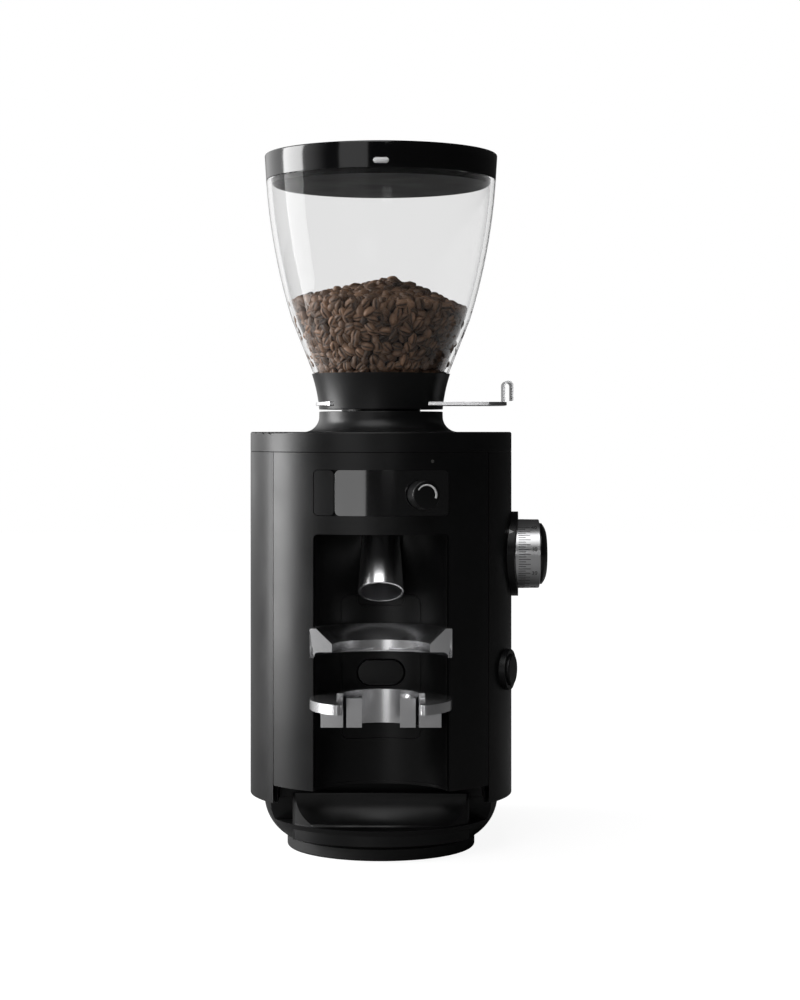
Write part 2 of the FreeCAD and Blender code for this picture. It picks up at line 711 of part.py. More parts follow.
def start_button():
    """Push plate carried in the holder plate, with a retaining flange behind it."""
    front = NICHE_BACK_Y - START_PROUD
    cap = obround(START_LENGTH, START_HEIGHT, START_Z, front, start_back())
    rim = [edge for edge in cap.Edges if edge.BoundBox.YMax < front + TOUCH]
    cap = cap.makeFillet(START_PROUD * 0.6, rim)
    seat = NICHE_BACK_Y + HOLDER_THICK + SLIP
    flange = obround(START_LENGTH + WALL, START_HEIGHT + WALL, START_Z, seat, seat + START_FLANGE)
    return cap.fuse(flange).removeSplitter()


def start_back():
    return NICHE_Y + BACKING_R + 2 * START_FLANGE


def start_switch():
    front = start_back() + START_TRAVEL + SLIP
    half = START_LENGTH / 2 + 3 * WALL
    plate = window(-half, half, START_Z - START_HEIGHT, START_Z + START_HEIGHT, WALL, front,
                   front + BOARD_THICK)
    legs = mirrored_pair(box(half - WALL, half, NICHE_Y, front, START_Z - WALL, START_Z + WALL))
    legs = [leg.cut(post(BACKING_R + TOUCH, 0, BIG, y=NICHE_Y)) for leg in legs]
    return plate.multiFuse(legs).removeSplitter()


def spout():
    tube = spout_form(0, BIG).cut(spout_form(-SPOUT_WALL, BIG))
    return tube.common(box(-BIG, BIG, -BIG, BIG, 0, CHAMBER_Z + CHAMBER_FLOOR / 2))


# Control window

def window_inset():
    return window(-WINDOW_HALF + KEY_WIDTH + SLIP, WINDOW_HALF - SLIP / 2, WINDOW_LOW_Z + SLIP / 2,
                  WINDOW_HIGH_Z - SLIP / 2, WINDOW_CORNER - SLIP / 2)


def display_window():
    glass = front_wall(BODY_R - GLASS_SUNK, INNER_R, 0, BIG).common(window_inset())
    return glass.cut(spoke(SELECTOR_R + SLIP, 0, BIG, KNOB_AXIS, KNOB_Z))


def mode_key():
    left = -WINDOW_HALF + SLIP
    cap = front_wall(BODY_R - GLASS_SUNK, INNER_R, 0, BIG)
    cap = cap.common(window(left, left + KEY_WIDTH - 2 * SLIP, WINDOW_LOW_Z + SLIP, WINDOW_HIGH_Z - SLIP,
                            WINDOW_CORNER - SLIP))
    stem_end = BOARD_Y - BOARD_THICK - KEY_TRAVEL - SLIP
    stem = box(KEY_X - WALL, KEY_X + WALL, -BODY_R + WALL, stem_end, KNOB_Z - WALL, KNOB_Z + WALL)
    return cap.fuse(stem.common(post(INNER_R + WALL / 2, 0, BIG))).removeSplitter()


def control_frame():
    half = WINDOW_HALF + FRAME_RIM
    low = WINDOW_LOW_Z - FRAME_RIM
    high = WINDOW_HIGH_Z + FRAME_RIM
    plate = front_wall(INNER_R - SLIP, FRAME_R, low, high).common(box(-half, half, -BIG, 0, low, high))
    key_room = window(-WINDOW_HALF + TOUCH, -WINDOW_HALF + KEY_WIDTH, WINDOW_LOW_Z, WINDOW_HIGH_Z,
                      WINDOW_CORNER / 2)
    key_room = key_room.cut(post(INNER_R - KEY_TRAVEL - WALL, 0, BIG))
    plate = plate.cut(key_room)
    plate = plate.cut(box(KEY_X - 2 * WALL, KEY_X + 2 * WALL, -BIG, 0, KNOB_Z - 2 * WALL, KNOB_Z + 2 * WALL))
    plate = plate.cut(spoke(ENCODER_R + SLIP, 0, BIG, KNOB_AXIS, KNOB_Z))
    leg_x = half - 3 * WALL
    root_y = -math.sqrt(FRAME_R ** 2 - leg_x ** 2) - WALL
    legs = []
    for x in (-leg_x, leg_x):
        for z in (low + WALL + TOUCH, high - WALL - TOUCH):
            legs.append(along_y(WALL, root_y, BOARD_Y - BOARD_THICK, x, z))
    return plate.multiFuse(legs).removeSplitter()


def display_board():
    half = WINDOW_HALF + FRAME_RIM
    board = window(-half, half, WINDOW_LOW_Z - FRAME_RIM, WINDOW_HIGH_Z + FRAME_RIM, WALL,
                   BOARD_Y - BOARD_THICK, BOARD_Y)
    return board.common(post(FRAME_R - TOUCH, 0, BIG))


def key_switch():
    face = BOARD_Y - BOARD_THICK
    half = 2 * WALL
    return window(KEY_X - half, KEY_X + half, KNOB_Z - half, KNOB_Z + half, SWITCH_CORNER, face - SLIP, face)


def selector_encoder():
    body = spoke(ENCODER_R, 0, FRAME_R + WALL, KNOB_AXIS, KNOB_Z)
    body = body.common(box(-BIG, BIG, -BIG, BOARD_Y - BOARD_THICK, 0, BIG))
    return body.cut(spoke(SELECTOR_R + RUN, selector_start() - KNOB_TRAVEL - SLIP, BIG, KNOB_AXIS, KNOB_Z))


def selector_start():
    return -BOARD_Y / math.cos(math.radians(KNOB_ANGLE)) + 2 * WALL


def selector_shaft():
    return spoke(SELECTOR_R, selector_start(), BODY_R + KNOB_GAP + STEM_DEPTH, KNOB_AXIS, KNOB_Z)


def selector_knob():
    start = BODY_R + KNOB_GAP
    knob = spoke(KNOB_R, start, start + KNOB_LENGTH, KNOB_AXIS, KNOB_Z)
    rims = [edge for edge in knob.Edges if edge.Curve.TypeId == "Part::GeomCircle"]
    front = max(rims, key=lambda edge: edge.CenterOfMass.dot(KNOB_AXIS))
    knob = knob.makeFillet(KNOB_EDGE, [front])
    return knob.cut(spoke(SELECTOR_R + RUN, 0, start + STEM_DEPTH + SLIP, KNOB_AXIS, KNOB_Z))


def status_light():
    lens = along_y(LIGHT_R, -BODY_R, -FRAME_R + WALL, LIGHT_X, LIGHT_Z)
    return lens.common(post(BODY_R, 0, BIG)).cut(post(FRAME_R + WALL, 0, BIG))


# Grind dial

def dial_pad():
    pad = pill_wall(BODY_R + PAD_RISE, BODY_R + TOUCH, DIAL_Z - PAD_R, DIAL_Z + PAD_R)
    pad = pad.common(along_x(PAD_R, 0, BIG, DIAL_Z))
    pad = pad.cut(along_x(DIAL_R + SLIP, DIAL_START - SLIP, BIG, DIAL_Z))
    return pad.cut(along_x(DIAL_SHAFT_R + BUSH_WALL + TOUCH, 0, BIG, DIAL_Z))


def dial_bushing():
    end = DIAL_START - SLIP
    tube = along_x(DIAL_SHAFT_R + BUSH_WALL, end - BUSH_LENGTH, end, DIAL_Z)
    flange = along_x(DIAL_SHAFT_R + 2 * BUSH_WALL, end - BUSH_LENGTH, INNER_R, DIAL_Z)
    flange = flange.common(pill_block(INNER_R - TOUCH, 0, BIG))
    flange = flange.cut(box(0, INNER_R - 2 * WALL, -BIG, BIG, 0, BIG))
    return tube.fuse(flange).removeSplitter().cut(along_x(DIAL_SHAFT_R + RUN, 0, BIG, DIAL_Z))


def dial_ring():
    ring = along_x(DIAL_R, DIAL_START, DIAL_START + DIAL_LENGTH, DIAL_Z)
    return ring.cut(along_x(DIAL_SHAFT_R + TOUCH, 0, BIG, DIAL_Z))


def dial_cap():
    start = DIAL_START + DIAL_LENGTH
    dome = section((0, 0), (DIAL_CAP_R, 0), (DIAL_CAP_R, DIAL_CAP_LENGTH * 0.35),
                   ((DIAL_CAP_R * 0.82, DIAL_CAP_LENGTH * 0.8), (DIAL_CAP_R * 0.5, DIAL_CAP_LENGTH)),
                   (0, DIAL_CAP_LENGTH)).revolve(Vector(), Z, FULL_TURN)
    dome.rotate(Vector(), Y, FULL_TURN / 4)
    dome.translate(Vector(start, 0, DIAL_Z))
    return dome


def cam_radius(behind):
    """Spiral lift; behind is how far the point trails the step, in degrees."""
    margin = (FULL_TURN - CAM_TURN) / 2
    rise = min(max(behind - margin, 0), CAM_TURN) / CAM_TURN
    return CAM_R + CAM_LIFT * rise


def cam():
    """Spiral in the YZ plane whose radius at the top grows evenly as the dial turns."""
    steps = 24
    top = FULL_TURN / 4 + (FULL_TURN - CAM_TURN) / 2
    rim = []
    for index in range(steps + 1):
        behind = FULL_TURN * index / steps
        angle = math.radians(top - behind)
        radius = cam_radius(behind)
        rim.append(Vector(CAM_X, radius * math.cos(angle), DIAL_Z + radius * math.sin(angle)))
    spiral = Part.BSplineCurve()
    spiral.interpolate(rim)
    wire = Part.Wire([spiral.toShape(), Part.makeLine(rim[-1], rim[0])])
    return Part.Face(wire).extrude(X * CAM_WIDTH)


def dial_shaft():
    shaft = along_x(DIAL_SHAFT_R, CAM_X, DIAL_START + DIAL_LENGTH - TOUCH, DIAL_Z)
    return shaft.fuse(cam()).removeSplitter()


# Power button

def power_bezel():
    high = BODY_R + POWER_BEZEL_RISE
    ring = spoke(POWER_BEZEL_R, INNER_R - WALL, high, POWER_AXIS, POWER_Z)
    flange = spoke(POWER_BEZEL_R + WALL, INNER_R - 2 * WALL, INNER_R - WALL, POWER_AXIS, POWER_Z)
    return ring.fuse(flange).removeSplitter().cut(spoke(POWER_R + SLIP, 0, BIG, POWER_AXIS, POWER_Z))


def power_button():
    cap = spoke(POWER_R, power_back(), BODY_R + POWER_RISE, POWER_AXIS, POWER_Z)
    rims = [edge for edge in cap.Edges if edge.Curve.TypeId == "Part::GeomCircle"]
    front = max(rims, key=lambda edge: edge.CenterOfMass.dot(POWER_AXIS))
    return cap.makeFillet(POWER_EDGE, [front])


def power_back():
    return INNER_R - 2 * WALL


def power_switch():
    seat = INNER_R - 2 * WALL - TOUCH
    low = power_back() - POWER_TRAVEL - SLIP
    cup = spoke(POWER_BEZEL_R, low - 2 * WALL, seat, POWER_AXIS, POWER_Z)
    return cup.cut(spoke(POWER_R + SLIP, low, BIG, POWER_AXIS, POWER_Z))


# Motor and bracket

def post_places():
    return [(x, y) for x in (-POST_X, POST_X) for y in (POST_FRONT_Y, POST_REAR_Y)]


def bracket_posts():
    posts = []
    for x, y in post_places():
        pillar = post(POST_R, FLOOR_TOP_Z, BRACKET_Z, x, y)
        posts.append(pillar.cut(group([post_screw(x, y), bracket_screw(x, y)])))
    return group(posts)


def post_screw(x, y):
    """Screw up through the shell floor into a post, its head let into the floor."""
    return screw(x, y, FLOOR_Z + SCREW_HEAD, True)


def bracket_screw(x, y):
    return screw(x, y, CHAMBER_Z, False)


def motor_bracket():
    plate = box(-BRACKET_HALF, BRACKET_HALF, BRACKET_FRONT, BRACKET_REAR, BRACKET_Z, CHAMBER_Z)
    upright = [edge for edge in plate.Edges if abs(edge.tangentAt(edge.FirstParameter).z) > 0.9]
    plate = plate.makeFillet(2 * POST_R, upright)
    plate = plate.cut(post(SHAFT_R + 2 * SLIP, 0, BIG))
    plate = plate.cut(spout_form(SLIP, BIG))
    plate = plate.cut(post(TAPPET_R + SLIP, 0, BIG, TAPPET_X))
    return plate.cut(group([bracket_screw(x, y) for x, y in post_places()]))


def motor_can():
    return post(MOTOR_R, CAN_LOW_Z, CAN_HIGH_Z).cut(post(MOTOR_R - MOTOR_WALL, CAN_LOW_Z, CAN_HIGH_Z))


def lower_end_bell():
    bell = post(MOTOR_R, MOTOR_LOW_Z, CAN_LOW_Z)
    bell = bell.cut(post(BEARING_R + TOUCH, LOW_BEARING_Z - TOUCH, BIG))
    return bell.cut(post(SHAFT_R + 2 * SLIP, 0, BIG))


def upper_end_bell():
    """Stepped in towards the bracket, to clear the spout."""
    shoulder = CAN_HIGH_Z + BELL_RIM
    bell = turned((0, CAN_HIGH_Z), (MOTOR_R, CAN_HIGH_Z), (MOTOR_R, shoulder),
                  (BELL_NECK_R, shoulder + BELL_RIM),
                  (BELL_NECK_R, BRACKET_Z), (0, BRACKET_Z))
    bell = bell.cut(post(BEARING_R + TOUCH, HIGH_BEARING_Z - TOUCH, BIG))
    return bell.cut(post(SHAFT_R + 2 * SLIP, 0, BIG))


def bearing(z):
    return post(BEARING_R, z, z + BEARING_WIDTH - TOUCH).cut(post(SHAFT_R + RUN, 0, BIG))


def stator():
    ring = post(MOTOR_R - MOTOR_WALL - TOUCH, STATOR_Z, STATOR_Z + STATOR_LENGTH)
    return ring.cut(post(STATOR_BORE_R, 0, BIG))


def rotor_core():
    core = post(STATOR_BORE_R - ROTOR_GAP, STATOR_Z, STATOR_Z + STATOR_LENGTH)
    return core.cut(post(SHAFT_R + TOUCH, 0, BIG))


def rotor_shaft():
    return post(SHAFT_R, MOTOR_LOW_Z, LOWER_BURR_Z + NUT_HEIGHT + WALL)


# Burrs

def grinding_chamber():
    top = CHAMBER_Z + CHAMBER_HEIGHT
    chamber = post(CHAMBER_R, CHAMBER_Z, top)
    boss = spout_rod(SPOUT_R + CHAMBER_WALL, 0, BIG)
    boss = boss.common(box(-BIG, BIG, -BIG, 0, CHAMBER_Z, CARRIER_Z + CARRIER_THICK))
    chamber = chamber.fuse(boss).removeSplitter()
    chamber = chamber.cut(post(CHAMBER_BORE_R, CHAMBER_Z + CHAMBER_FLOOR, BIG))
    chamber = chamber.cut(post(SHAFT_R + 2 * SLIP, 0, BIG))
    chute = spout_rod(SPOUT_R - SPOUT_WALL, 0, BIG)
    socket = spout_rod(SPOUT_R + TOUCH, 0, BIG)
    socket = socket.common(box(-BIG, BIG, -BIG, 0, 0, CHAMBER_Z + CHAMBER_FLOOR / 2 + TOUCH))
    chute = chute.common(box(-BIG, BIG, -BIG, 0, 0, UPPER_BURR_Z - BURR_GAP))
    chamber = chamber.cut(socket).cut(chute)
    slot_half = ARM_HALF + SLIP
    return chamber.cut(box(0, BIG, -slot_half, slot_half, ARM_Z - SLIP, BIG))


def burr(z, groove_z):
    """Flat burr ring with skewed grinding grooves in one face."""
    ring = post(BURR_R, z, z + BURR_THICK).cut(post(BURR_BORE_R, z, z + BURR_THICK))
    groove = box(BURR_BORE_R - WALL, BURR_R + WALL, -GROOVE_WIDTH / 2, GROOVE_WIDTH / 2, groove_z,
                 groove_z + GROOVE_DEPTH)
    groove.rotate(Vector((BURR_R + BURR_BORE_R) / 2, 0, 0), Z, GROOVE_SKEW)
    step = FULL_TURN / BURR_GROOVES
    grooves = [groove.rotated(Vector(), Z, step * index) for index in range(BURR_GROOVES)]
    return ring.cut(group(grooves))


def lower_burr():
    return burr(LOWER_BURR_Z, LOWER_BURR_Z + BURR_THICK - GROOVE_DEPTH)


def upper_burr():
    return burr(UPPER_BURR_Z, UPPER_BURR_Z)


def lower_burr_carrier():
    disc = post(CARRIER_R, CARRIER_Z, LOWER_BURR_Z)
    paddle = box(0, PADDLE_R, -WALL, WALL, CARRIER_Z, LOWER_BURR_Z).common(post(PADDLE_R, 0, BIG))
    step = FULL_TURN / PADDLE_COUNT
    paddles = [paddle.rotated(Vector(), Z, step * index) for index in range(PADDLE_COUNT)]
    disc = disc.multiFuse(paddles).removeSplitter()
    return disc.cut(post(SHAFT_R + TOUCH, 0, BIG))


def burr_nut():
    corners = []
    for side in range(NUT_SIDES + 1):
        angle = math.tau * side / NUT_SIDES
        corners.append(Vector(NUT_R * math.cos(angle), NUT_R * math.sin(angle), LOWER_BURR_Z))
    corners[-1] = corners[0]
    nut = Part.Face(Part.makePolygon(corners)).extrude(Z * NUT_HEIGHT)
    return nut.cut(post(SHAFT_R + TOUCH, 0, BIG))


def upper_burr_carrier():
    top = UPPER_CARRIER_Z + UPPER_CARRIER_THICK
    carrier = turned((BURR_BORE_R, UPPER_CARRIER_Z), (CHAMBER_BORE_R - SLIP, UPPER_CARRIER_Z),
                     (CHAMBER_BORE_R - SLIP, top), (SPIGOT_R - SPIGOT_WALL, top))
    arm = box(BURR_R, TAPPET_X + TAPPET_R, -ARM_HALF, ARM_HALF, ARM_Z, ARM_Z + ARM_THICK)
    tip_z = DIAL_Z + CAM_R + RUN + TIP_R
    tappet = post(TAPPET_R, tip_z + 2 * TIP_R, ARM_Z + ARM_THICK, TAPPET_X)
    tip = along_x(TIP_R, TAPPET_X - TAPPET_R, TAPPET_X + TAPPET_R, tip_z)
    blade = box(TAPPET_X - TAPPET_R, TAPPET_X + TAPPET_R, -TIP_R, TIP_R, tip_z, tip_z + 3 * TIP_R)
    follower = blade.fuse(tip).common(post(TAPPET_R, 0, BIG, TAPPET_X))
    return carrier.multiFuse([arm, tappet, follower]).removeSplitter()


# Hopper

def hopper_collar():
    spigot_low = SPIGOT_Z + SLIP
    recess = (GLASS_KNEE_R - GLASS_FOOT_R) / (GLASS_KNEE + GLASS_FOOT)
    seat_z = HOPPER_Z - GLASS_FOOT - TOUCH
    mouth_r = GLASS_FOOT_R + recess * GLASS_FOOT + 2 * TOUCH
    throat_top = SHUTTER_Z + SHUTTER_THICK + THROAT_ABOVE
    collar = turned((SPIGOT_R - SPIGOT_WALL, spigot_low), (SPIGOT_R, spigot_low), (SPIGOT_R, COLLAR_Z),
                    (NECK_R, COLLAR_Z),
                    ((COLLAR_MID_R, COLLAR_Z + COLLAR_HEIGHT / 2), (COLLAR_TOP_R, HOPPER_Z)),
                    (mouth_r, HOPPER_Z), (GLASS_FOOT_R + 2 * TOUCH, seat_z),
                    (GLASS_FOOT_R - GLASS_WALL, seat_z),
                    (THROAT_R, throat_top), (THROAT_R, SHUTTER_Z - THROAT_BELOW),
                    (SPIGOT_R - SPIGOT_WALL, COLLAR_Z - WALL))
    half = SHUTTER_WIDTH / 2 + SLIP
    return collar.cut(box(-BIG, BIG, -half, half, SHUTTER_Z - SLIP, SHUTTER_Z + SHUTTER_THICK + SLIP))


def bean_hopper():
    inset = GLASS_WALL
    low = HOPPER_Z - GLASS_FOOT
    knee = HOPPER_Z + GLASS_KNEE
    belly = HOPPER_Z + GLASS_BELLY
    top = HOPPER_Z + GLASS_HEIGHT
    return turned((GLASS_FOOT_R, low), (GLASS_KNEE_R, knee), ((GLASS_BELLY_R, belly), (GLASS_TOP_R, top)),
                  (GLASS_TOP_R - inset, top), ((GLASS_BELLY_R - inset, belly), (GLASS_KNEE_R - inset, knee)),
                  (GLASS_FOOT_R - inset, low))


def shutter_slide():
    half = SHUTTER_WIDTH / 2
    top = SHUTTER_Z + SHUTTER_THICK
    plate = box(-BIG, SHUTTER_REACH, -half, half, SHUTTER_Z, top)
    plate = plate.common(post(SHUTTER_TAIL, 0, BIG).fuse(box(0, BIG, -BIG, BIG, 0, BIG)))
    corners = [edge for edge in plate.Edges
               if edge.BoundBox.XMin > SHUTTER_REACH - TOUCH and edge.BoundBox.ZLength > SHUTTER_THICK / 2]
    plate = plate.makeFillet((SHUTTER_WIDTH - SHUTTER_TAB_WIDTH) / 2 - TOUCH, corners)
    return plate.cut(post(THROAT_R, 0, BIG)).fuse(shutter_tab(top)).removeSplitter()


def shutter_tab(top):
    """Pull at the end of the slide, bent up and over."""
    half = SHUTTER_TAB_WIDTH / 2
    low = top - SHUTTER_THICK
    crown = low + SHUTTER_TAB_HEIGHT - SHUTTER_TAB_R
    x0 = SHUTTER_REACH - SHUTTER_THICK
    x1 = x0 + 2 * SHUTTER_TAB_R
    outer = SHUTTER_TAB_R
    inner = SHUTTER_TAB_R - SHUTTER_THICK / 2
    middle = (x0 + x1) / 2
    face = section((middle - outer, low), (middle - inner, low), (middle - inner, crown),
                   ((middle, crown + inner), (middle + inner, crown)), (middle + inner, low + SHUTTER_TAB_R),
                   (middle + outer, low + SHUTTER_TAB_R), (middle + outer, crown),
                   ((middle, crown + outer), (middle - outer, crown)))
    return face.extrude(Y * SHUTTER_TAB_WIDTH).translated(Y * -half)


def hopper_lid():
    top = LID_Z + LID_HEIGHT
    inner = LID_R - LID_TAPER - LID_WALL
    edge = LID_R - LID_EDGE
    mid = (edge + LID_EDGE * math.sqrt(0.5), top - LID_EDGE + LID_EDGE * math.sqrt(0.5))
    return turned((inner, LID_Z), (LID_R - LID_TAPER, LID_Z), (LID_R, top - LID_EDGE), (mid, (edge, top)),
                  (0, top),
                  (0, top - LID_WALL), (inner, top - LID_WALL))


def lid_plug():
    low = LID_Z - PLUG_DROP
    top = LID_Z + LID_HEIGHT - LID_WALL - TOUCH
    inner = PLUG_R - PLUG_WALL
    return turned((0, low), (PLUG_R, low), (PLUG_R, top), (inner, top), (inner, low + PLUG_WALL),
                  (0, low + PLUG_WALL))


# Electrics at the back

def mains_block(grow, y1):
    half = MAINS_HALF + grow
    return window(-half, half, MAINS_Z - MAINS_HEIGHT / 2 - grow, MAINS_Z + MAINS_HEIGHT / 2 + grow, WALL,
                  REAR_Y - MAINS_DEPTH, y1)


def mains_inlet():
    face = BODY_STRETCH + math.sqrt(BODY_R ** 2 - MAINS_HALF ** 2)
    block = mains_block(0, face)
    low = MAINS_Z - MAINS_HEIGHT / 2 + SOCKET_RIM
    high = MAINS_Z + MAINS_HEIGHT / 2 - SOCKET_RIM
    half = MAINS_HALF - SOCKET_RIM
    block = block.cut(window(-half, half, low, high, WALL, face - SOCKET_DEPTH, BIG))
    pins = [box(x - PIN_HALF / 2, x + PIN_HALF / 2, face - SOCKET_DEPTH - WALL, face - PIN_SUNK,
                z - PIN_HALF, z + PIN_HALF)
            for x, z in ((0, MAINS_Z - WALL), (-half / 2, MAINS_Z + WALL), (half / 2, MAINS_Z + WALL))]
    flange = window(-MAINS_HALF - WALL, MAINS_HALF + WALL, MAINS_Z - MAINS_HEIGHT / 2 - WALL,
                    MAINS_Z + MAINS_HEIGHT / 2 + WALL, WALL, REAR_Y - MAINS_DEPTH, REAR_Y - WALL)
    inside = post(INNER_R - TOUCH, 0, BIG, y=BODY_STRETCH)
    flange = flange.common(inside).cut(post(INNER_R - WALL, 0, BIG, y=BODY_STRETCH)).cut(mains_block(0, BIG))
    return block.multiFuse(pins + [flange]).removeSplitter()


def board_bracket():
    back = POWER_BOARD_Y + BOARD_THICK + STANDOFF
    upright = box(-POWER_BOARD_HALF, POWER_BOARD_HALF, back, back + WALL, FLOOR_TOP_Z, POWER_BOARD_HIGH_Z)
    upright = upright.cut(box(-MAINS_HALF * 1.5, MAINS_HALF * 1.5, 0, BIG, 0, MAINS_Z + MAINS_HEIGHT))
    foot = box(-POWER_BOARD_HALF, POWER_BOARD_HALF, POWER_BOARD_Y - STANDOFF, back, FLOOR_TOP_Z,
               FLOOR_TOP_Z + WALL)
    legs = []
    for x in (-POWER_BOARD_HALF + 2 * STANDOFF_R, POWER_BOARD_HALF - 2 * STANDOFF_R):
        for z in (POWER_BOARD_LOW_Z + 2 * STANDOFF_R, POWER_BOARD_HIGH_Z - 2 * STANDOFF_R):
            legs.append(along_y(STANDOFF_R, POWER_BOARD_Y + BOARD_THICK, back, x, z))
    return upright.multiFuse([foot] + legs).removeSplitter()


def power_board():
    board = box(-POWER_BOARD_HALF, POWER_BOARD_HALF, POWER_BOARD_Y, POWER_BOARD_Y + BOARD_THICK,
                POWER_BOARD_LOW_Z, POWER_BOARD_HIGH_Z)
    coil_low = POWER_BOARD_LOW_Z + COIL_RISE
    transformer = box(-COIL_WIDTH, 0, POWER_BOARD_Y - COIL_DEPTH, POWER_BOARD_Y, coil_low,
                      coil_low + COIL_HEIGHT)
    capacitors = []
    for index in range(CAN_COUNT):
        z = POWER_BOARD_LOW_Z + CAN_PITCH * (index + 1)
        capacitors.append(along_y(CAN_R, POWER_BOARD_Y - CAN_DEPTH, POWER_BOARD_Y, CAN_X, z))
    return board.multiFuse([transformer] + capacitors).removeSplitter()


PIECES = {
    "side_shell": side_shell,
    "front_panel": front_panel,
    "top_cap": top_cap,
    "hopper_seal": hopper_seal,
    "base_pan": base_pan,
    "pan_screws": lambda: group([pan_screw(x, y) for x, y in pan_screw_places()]),
    "foot_pad": foot_pad,
    "tray_bay": tray_bay,
    "grounds_tray": grounds_tray,
    "niche_liner": niche_liner,
    "holder_plate": holder_plate,
    "holder_screws": holder_screws,
    "holder_ring": holder_ring,
    "holder_rest": holder_rest,
    "start_button": start_button,
    "start_switch": start_switch,
    "spout": spout,
    "display_window": display_window,
    "mode_key": mode_key,
    "control_frame": control_frame,
    "display_board": display_board,
    "key_switch": key_switch,
    "selector_encoder": selector_encoder,
    "selector_shaft": selector_shaft,
    "selector_knob": selector_knob,
    "status_light": status_light,
    "dial_pad": dial_pad,
    "dial_bushing": dial_bushing,
    "dial_ring": dial_ring,
    "dial_cap": dial_cap,
    "dial_shaft": dial_shaft,
    "power_bezel": power_bezel,
    "power_button": power_button,
    "power_switch": power_switch,
    "bracket_posts": bracket_posts,
    "post_screws": lambda: group([post_screw(x, y) for x, y in post_places()]),
    "bracket_screws": lambda: group([bracket_screw(x, y) for x, y in post_places()]),
    "motor_bracket": motor_bracket,
    "motor_can": motor_can,
    "lower_end_bell": lower_end_bell,
    "upper_end_bell": upper_end_bell,
    "lower_bearing": lambda: bearing(LOW_BEARING_Z),
    "upper_bearing": lambda: bearing(HIGH_BEARING_Z),
    "stator": stator,
    "rotor_core": rotor_core,
    "rotor_shaft": rotor_shaft,
    "grinding_chamber": grinding_chamber,
    "lower_burr_carrier": lower_burr_carrier,
    "lower_burr": lower_burr,
    "burr_nut": burr_nut,
    "upper_burr": upper_burr,
    "upper_burr_carrier": upper_burr_carrier,
    "hopper_collar": hopper_collar,
    "bean_hopper": bean_hopper,
    "shutter_slide": shutter_slide,
    "hopper_lid": hopper_lid,
    "lid_plug": lid_plug,
    "mains_inlet": mains_inlet,
    "board_bracket": board_bracket,
    "power_board": power_board,
}

os.makedirs("parts", exist_ok=True)
for name, make in PIECES.items():
    make().exportStep(f"parts/{name}.step")
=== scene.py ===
"""Looks of a home burr coffee grinder: finishes, softened edges, beans in the hopper and dial marks.

Metres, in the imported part's frame: +Z up, -Y the front, origin under the foot.
"""
import json
import math
import random

import bmesh
import bpy
from mathutils import Matrix, Vector

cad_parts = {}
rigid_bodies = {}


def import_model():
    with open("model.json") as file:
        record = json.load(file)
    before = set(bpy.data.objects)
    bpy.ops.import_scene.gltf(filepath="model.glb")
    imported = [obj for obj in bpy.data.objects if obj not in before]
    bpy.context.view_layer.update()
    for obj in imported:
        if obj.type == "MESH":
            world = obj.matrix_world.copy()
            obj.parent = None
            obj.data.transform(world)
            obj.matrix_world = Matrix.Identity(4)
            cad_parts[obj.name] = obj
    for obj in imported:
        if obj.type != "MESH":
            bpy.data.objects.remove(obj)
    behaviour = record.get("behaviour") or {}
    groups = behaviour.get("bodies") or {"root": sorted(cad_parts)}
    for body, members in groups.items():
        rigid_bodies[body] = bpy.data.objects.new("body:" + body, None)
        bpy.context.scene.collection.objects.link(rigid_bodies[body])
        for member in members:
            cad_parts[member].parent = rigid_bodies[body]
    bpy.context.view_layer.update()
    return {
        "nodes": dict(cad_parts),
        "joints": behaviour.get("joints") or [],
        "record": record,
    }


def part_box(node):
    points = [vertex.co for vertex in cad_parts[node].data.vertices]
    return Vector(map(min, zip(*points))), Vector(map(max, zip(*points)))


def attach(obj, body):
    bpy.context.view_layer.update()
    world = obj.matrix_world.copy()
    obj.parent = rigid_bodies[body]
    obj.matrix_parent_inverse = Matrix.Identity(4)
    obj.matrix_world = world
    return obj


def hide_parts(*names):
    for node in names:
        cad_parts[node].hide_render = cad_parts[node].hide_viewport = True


for leftover in list(bpy.data.objects):
    bpy.data.objects.remove(leftover)
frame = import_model()
SCENE = bpy.context.scene
RECORD = frame["record"]
BODY_OF = {node: body for body, nodes in RECORD["behaviour"]["bodies"].items() for node in nodes}
SLOT_OF = {row["node"]: row["material_slot"] for row in RECORD["subparts"]}
MM = 0.001
UP = Vector((0, 0, 1))

# Camera: level, straight in front
CAMERA_Y = -1.301
CAMERA_Z = 0.2503
LENS = 76.7
SENSOR = 36
SHIFT_X = 0.019
SHIFT_Y = -0.067
CLIP_NEAR = 0.05
CLIP_FAR = 50

# Backdrop, which metal and gloss see behind on the left, and floor
BACKDROP_WAY = (-0.9, 0.436, 0)
BACKDROP_FROM = 0.45
BACKDROP_TO = 0.9
BACKDROP_DIM = 0.03
BACKDROP_BRIGHT = 1.3
FLOOR_HALF = 4.0
FLOOR_NEAR = 0.25
FLOOR_FAR = 0.9
FLOOR_GLOW = 0.92
FLOOR_BEHIND_FROM = 0.2
FLOOR_BEHIND_TO = 1.0
FLOOR_IN_METAL = 0.25

# The eye counts as seeing through the hopper below this number of crossed faces
WALL_CROSSINGS = 2.5

# Noise stays near its middle, and roughness strays this share from its own middle
NOISE_LOW = 0.3
NOISE_HIGH = 0.7
ROUGH_STRAY = 0.12

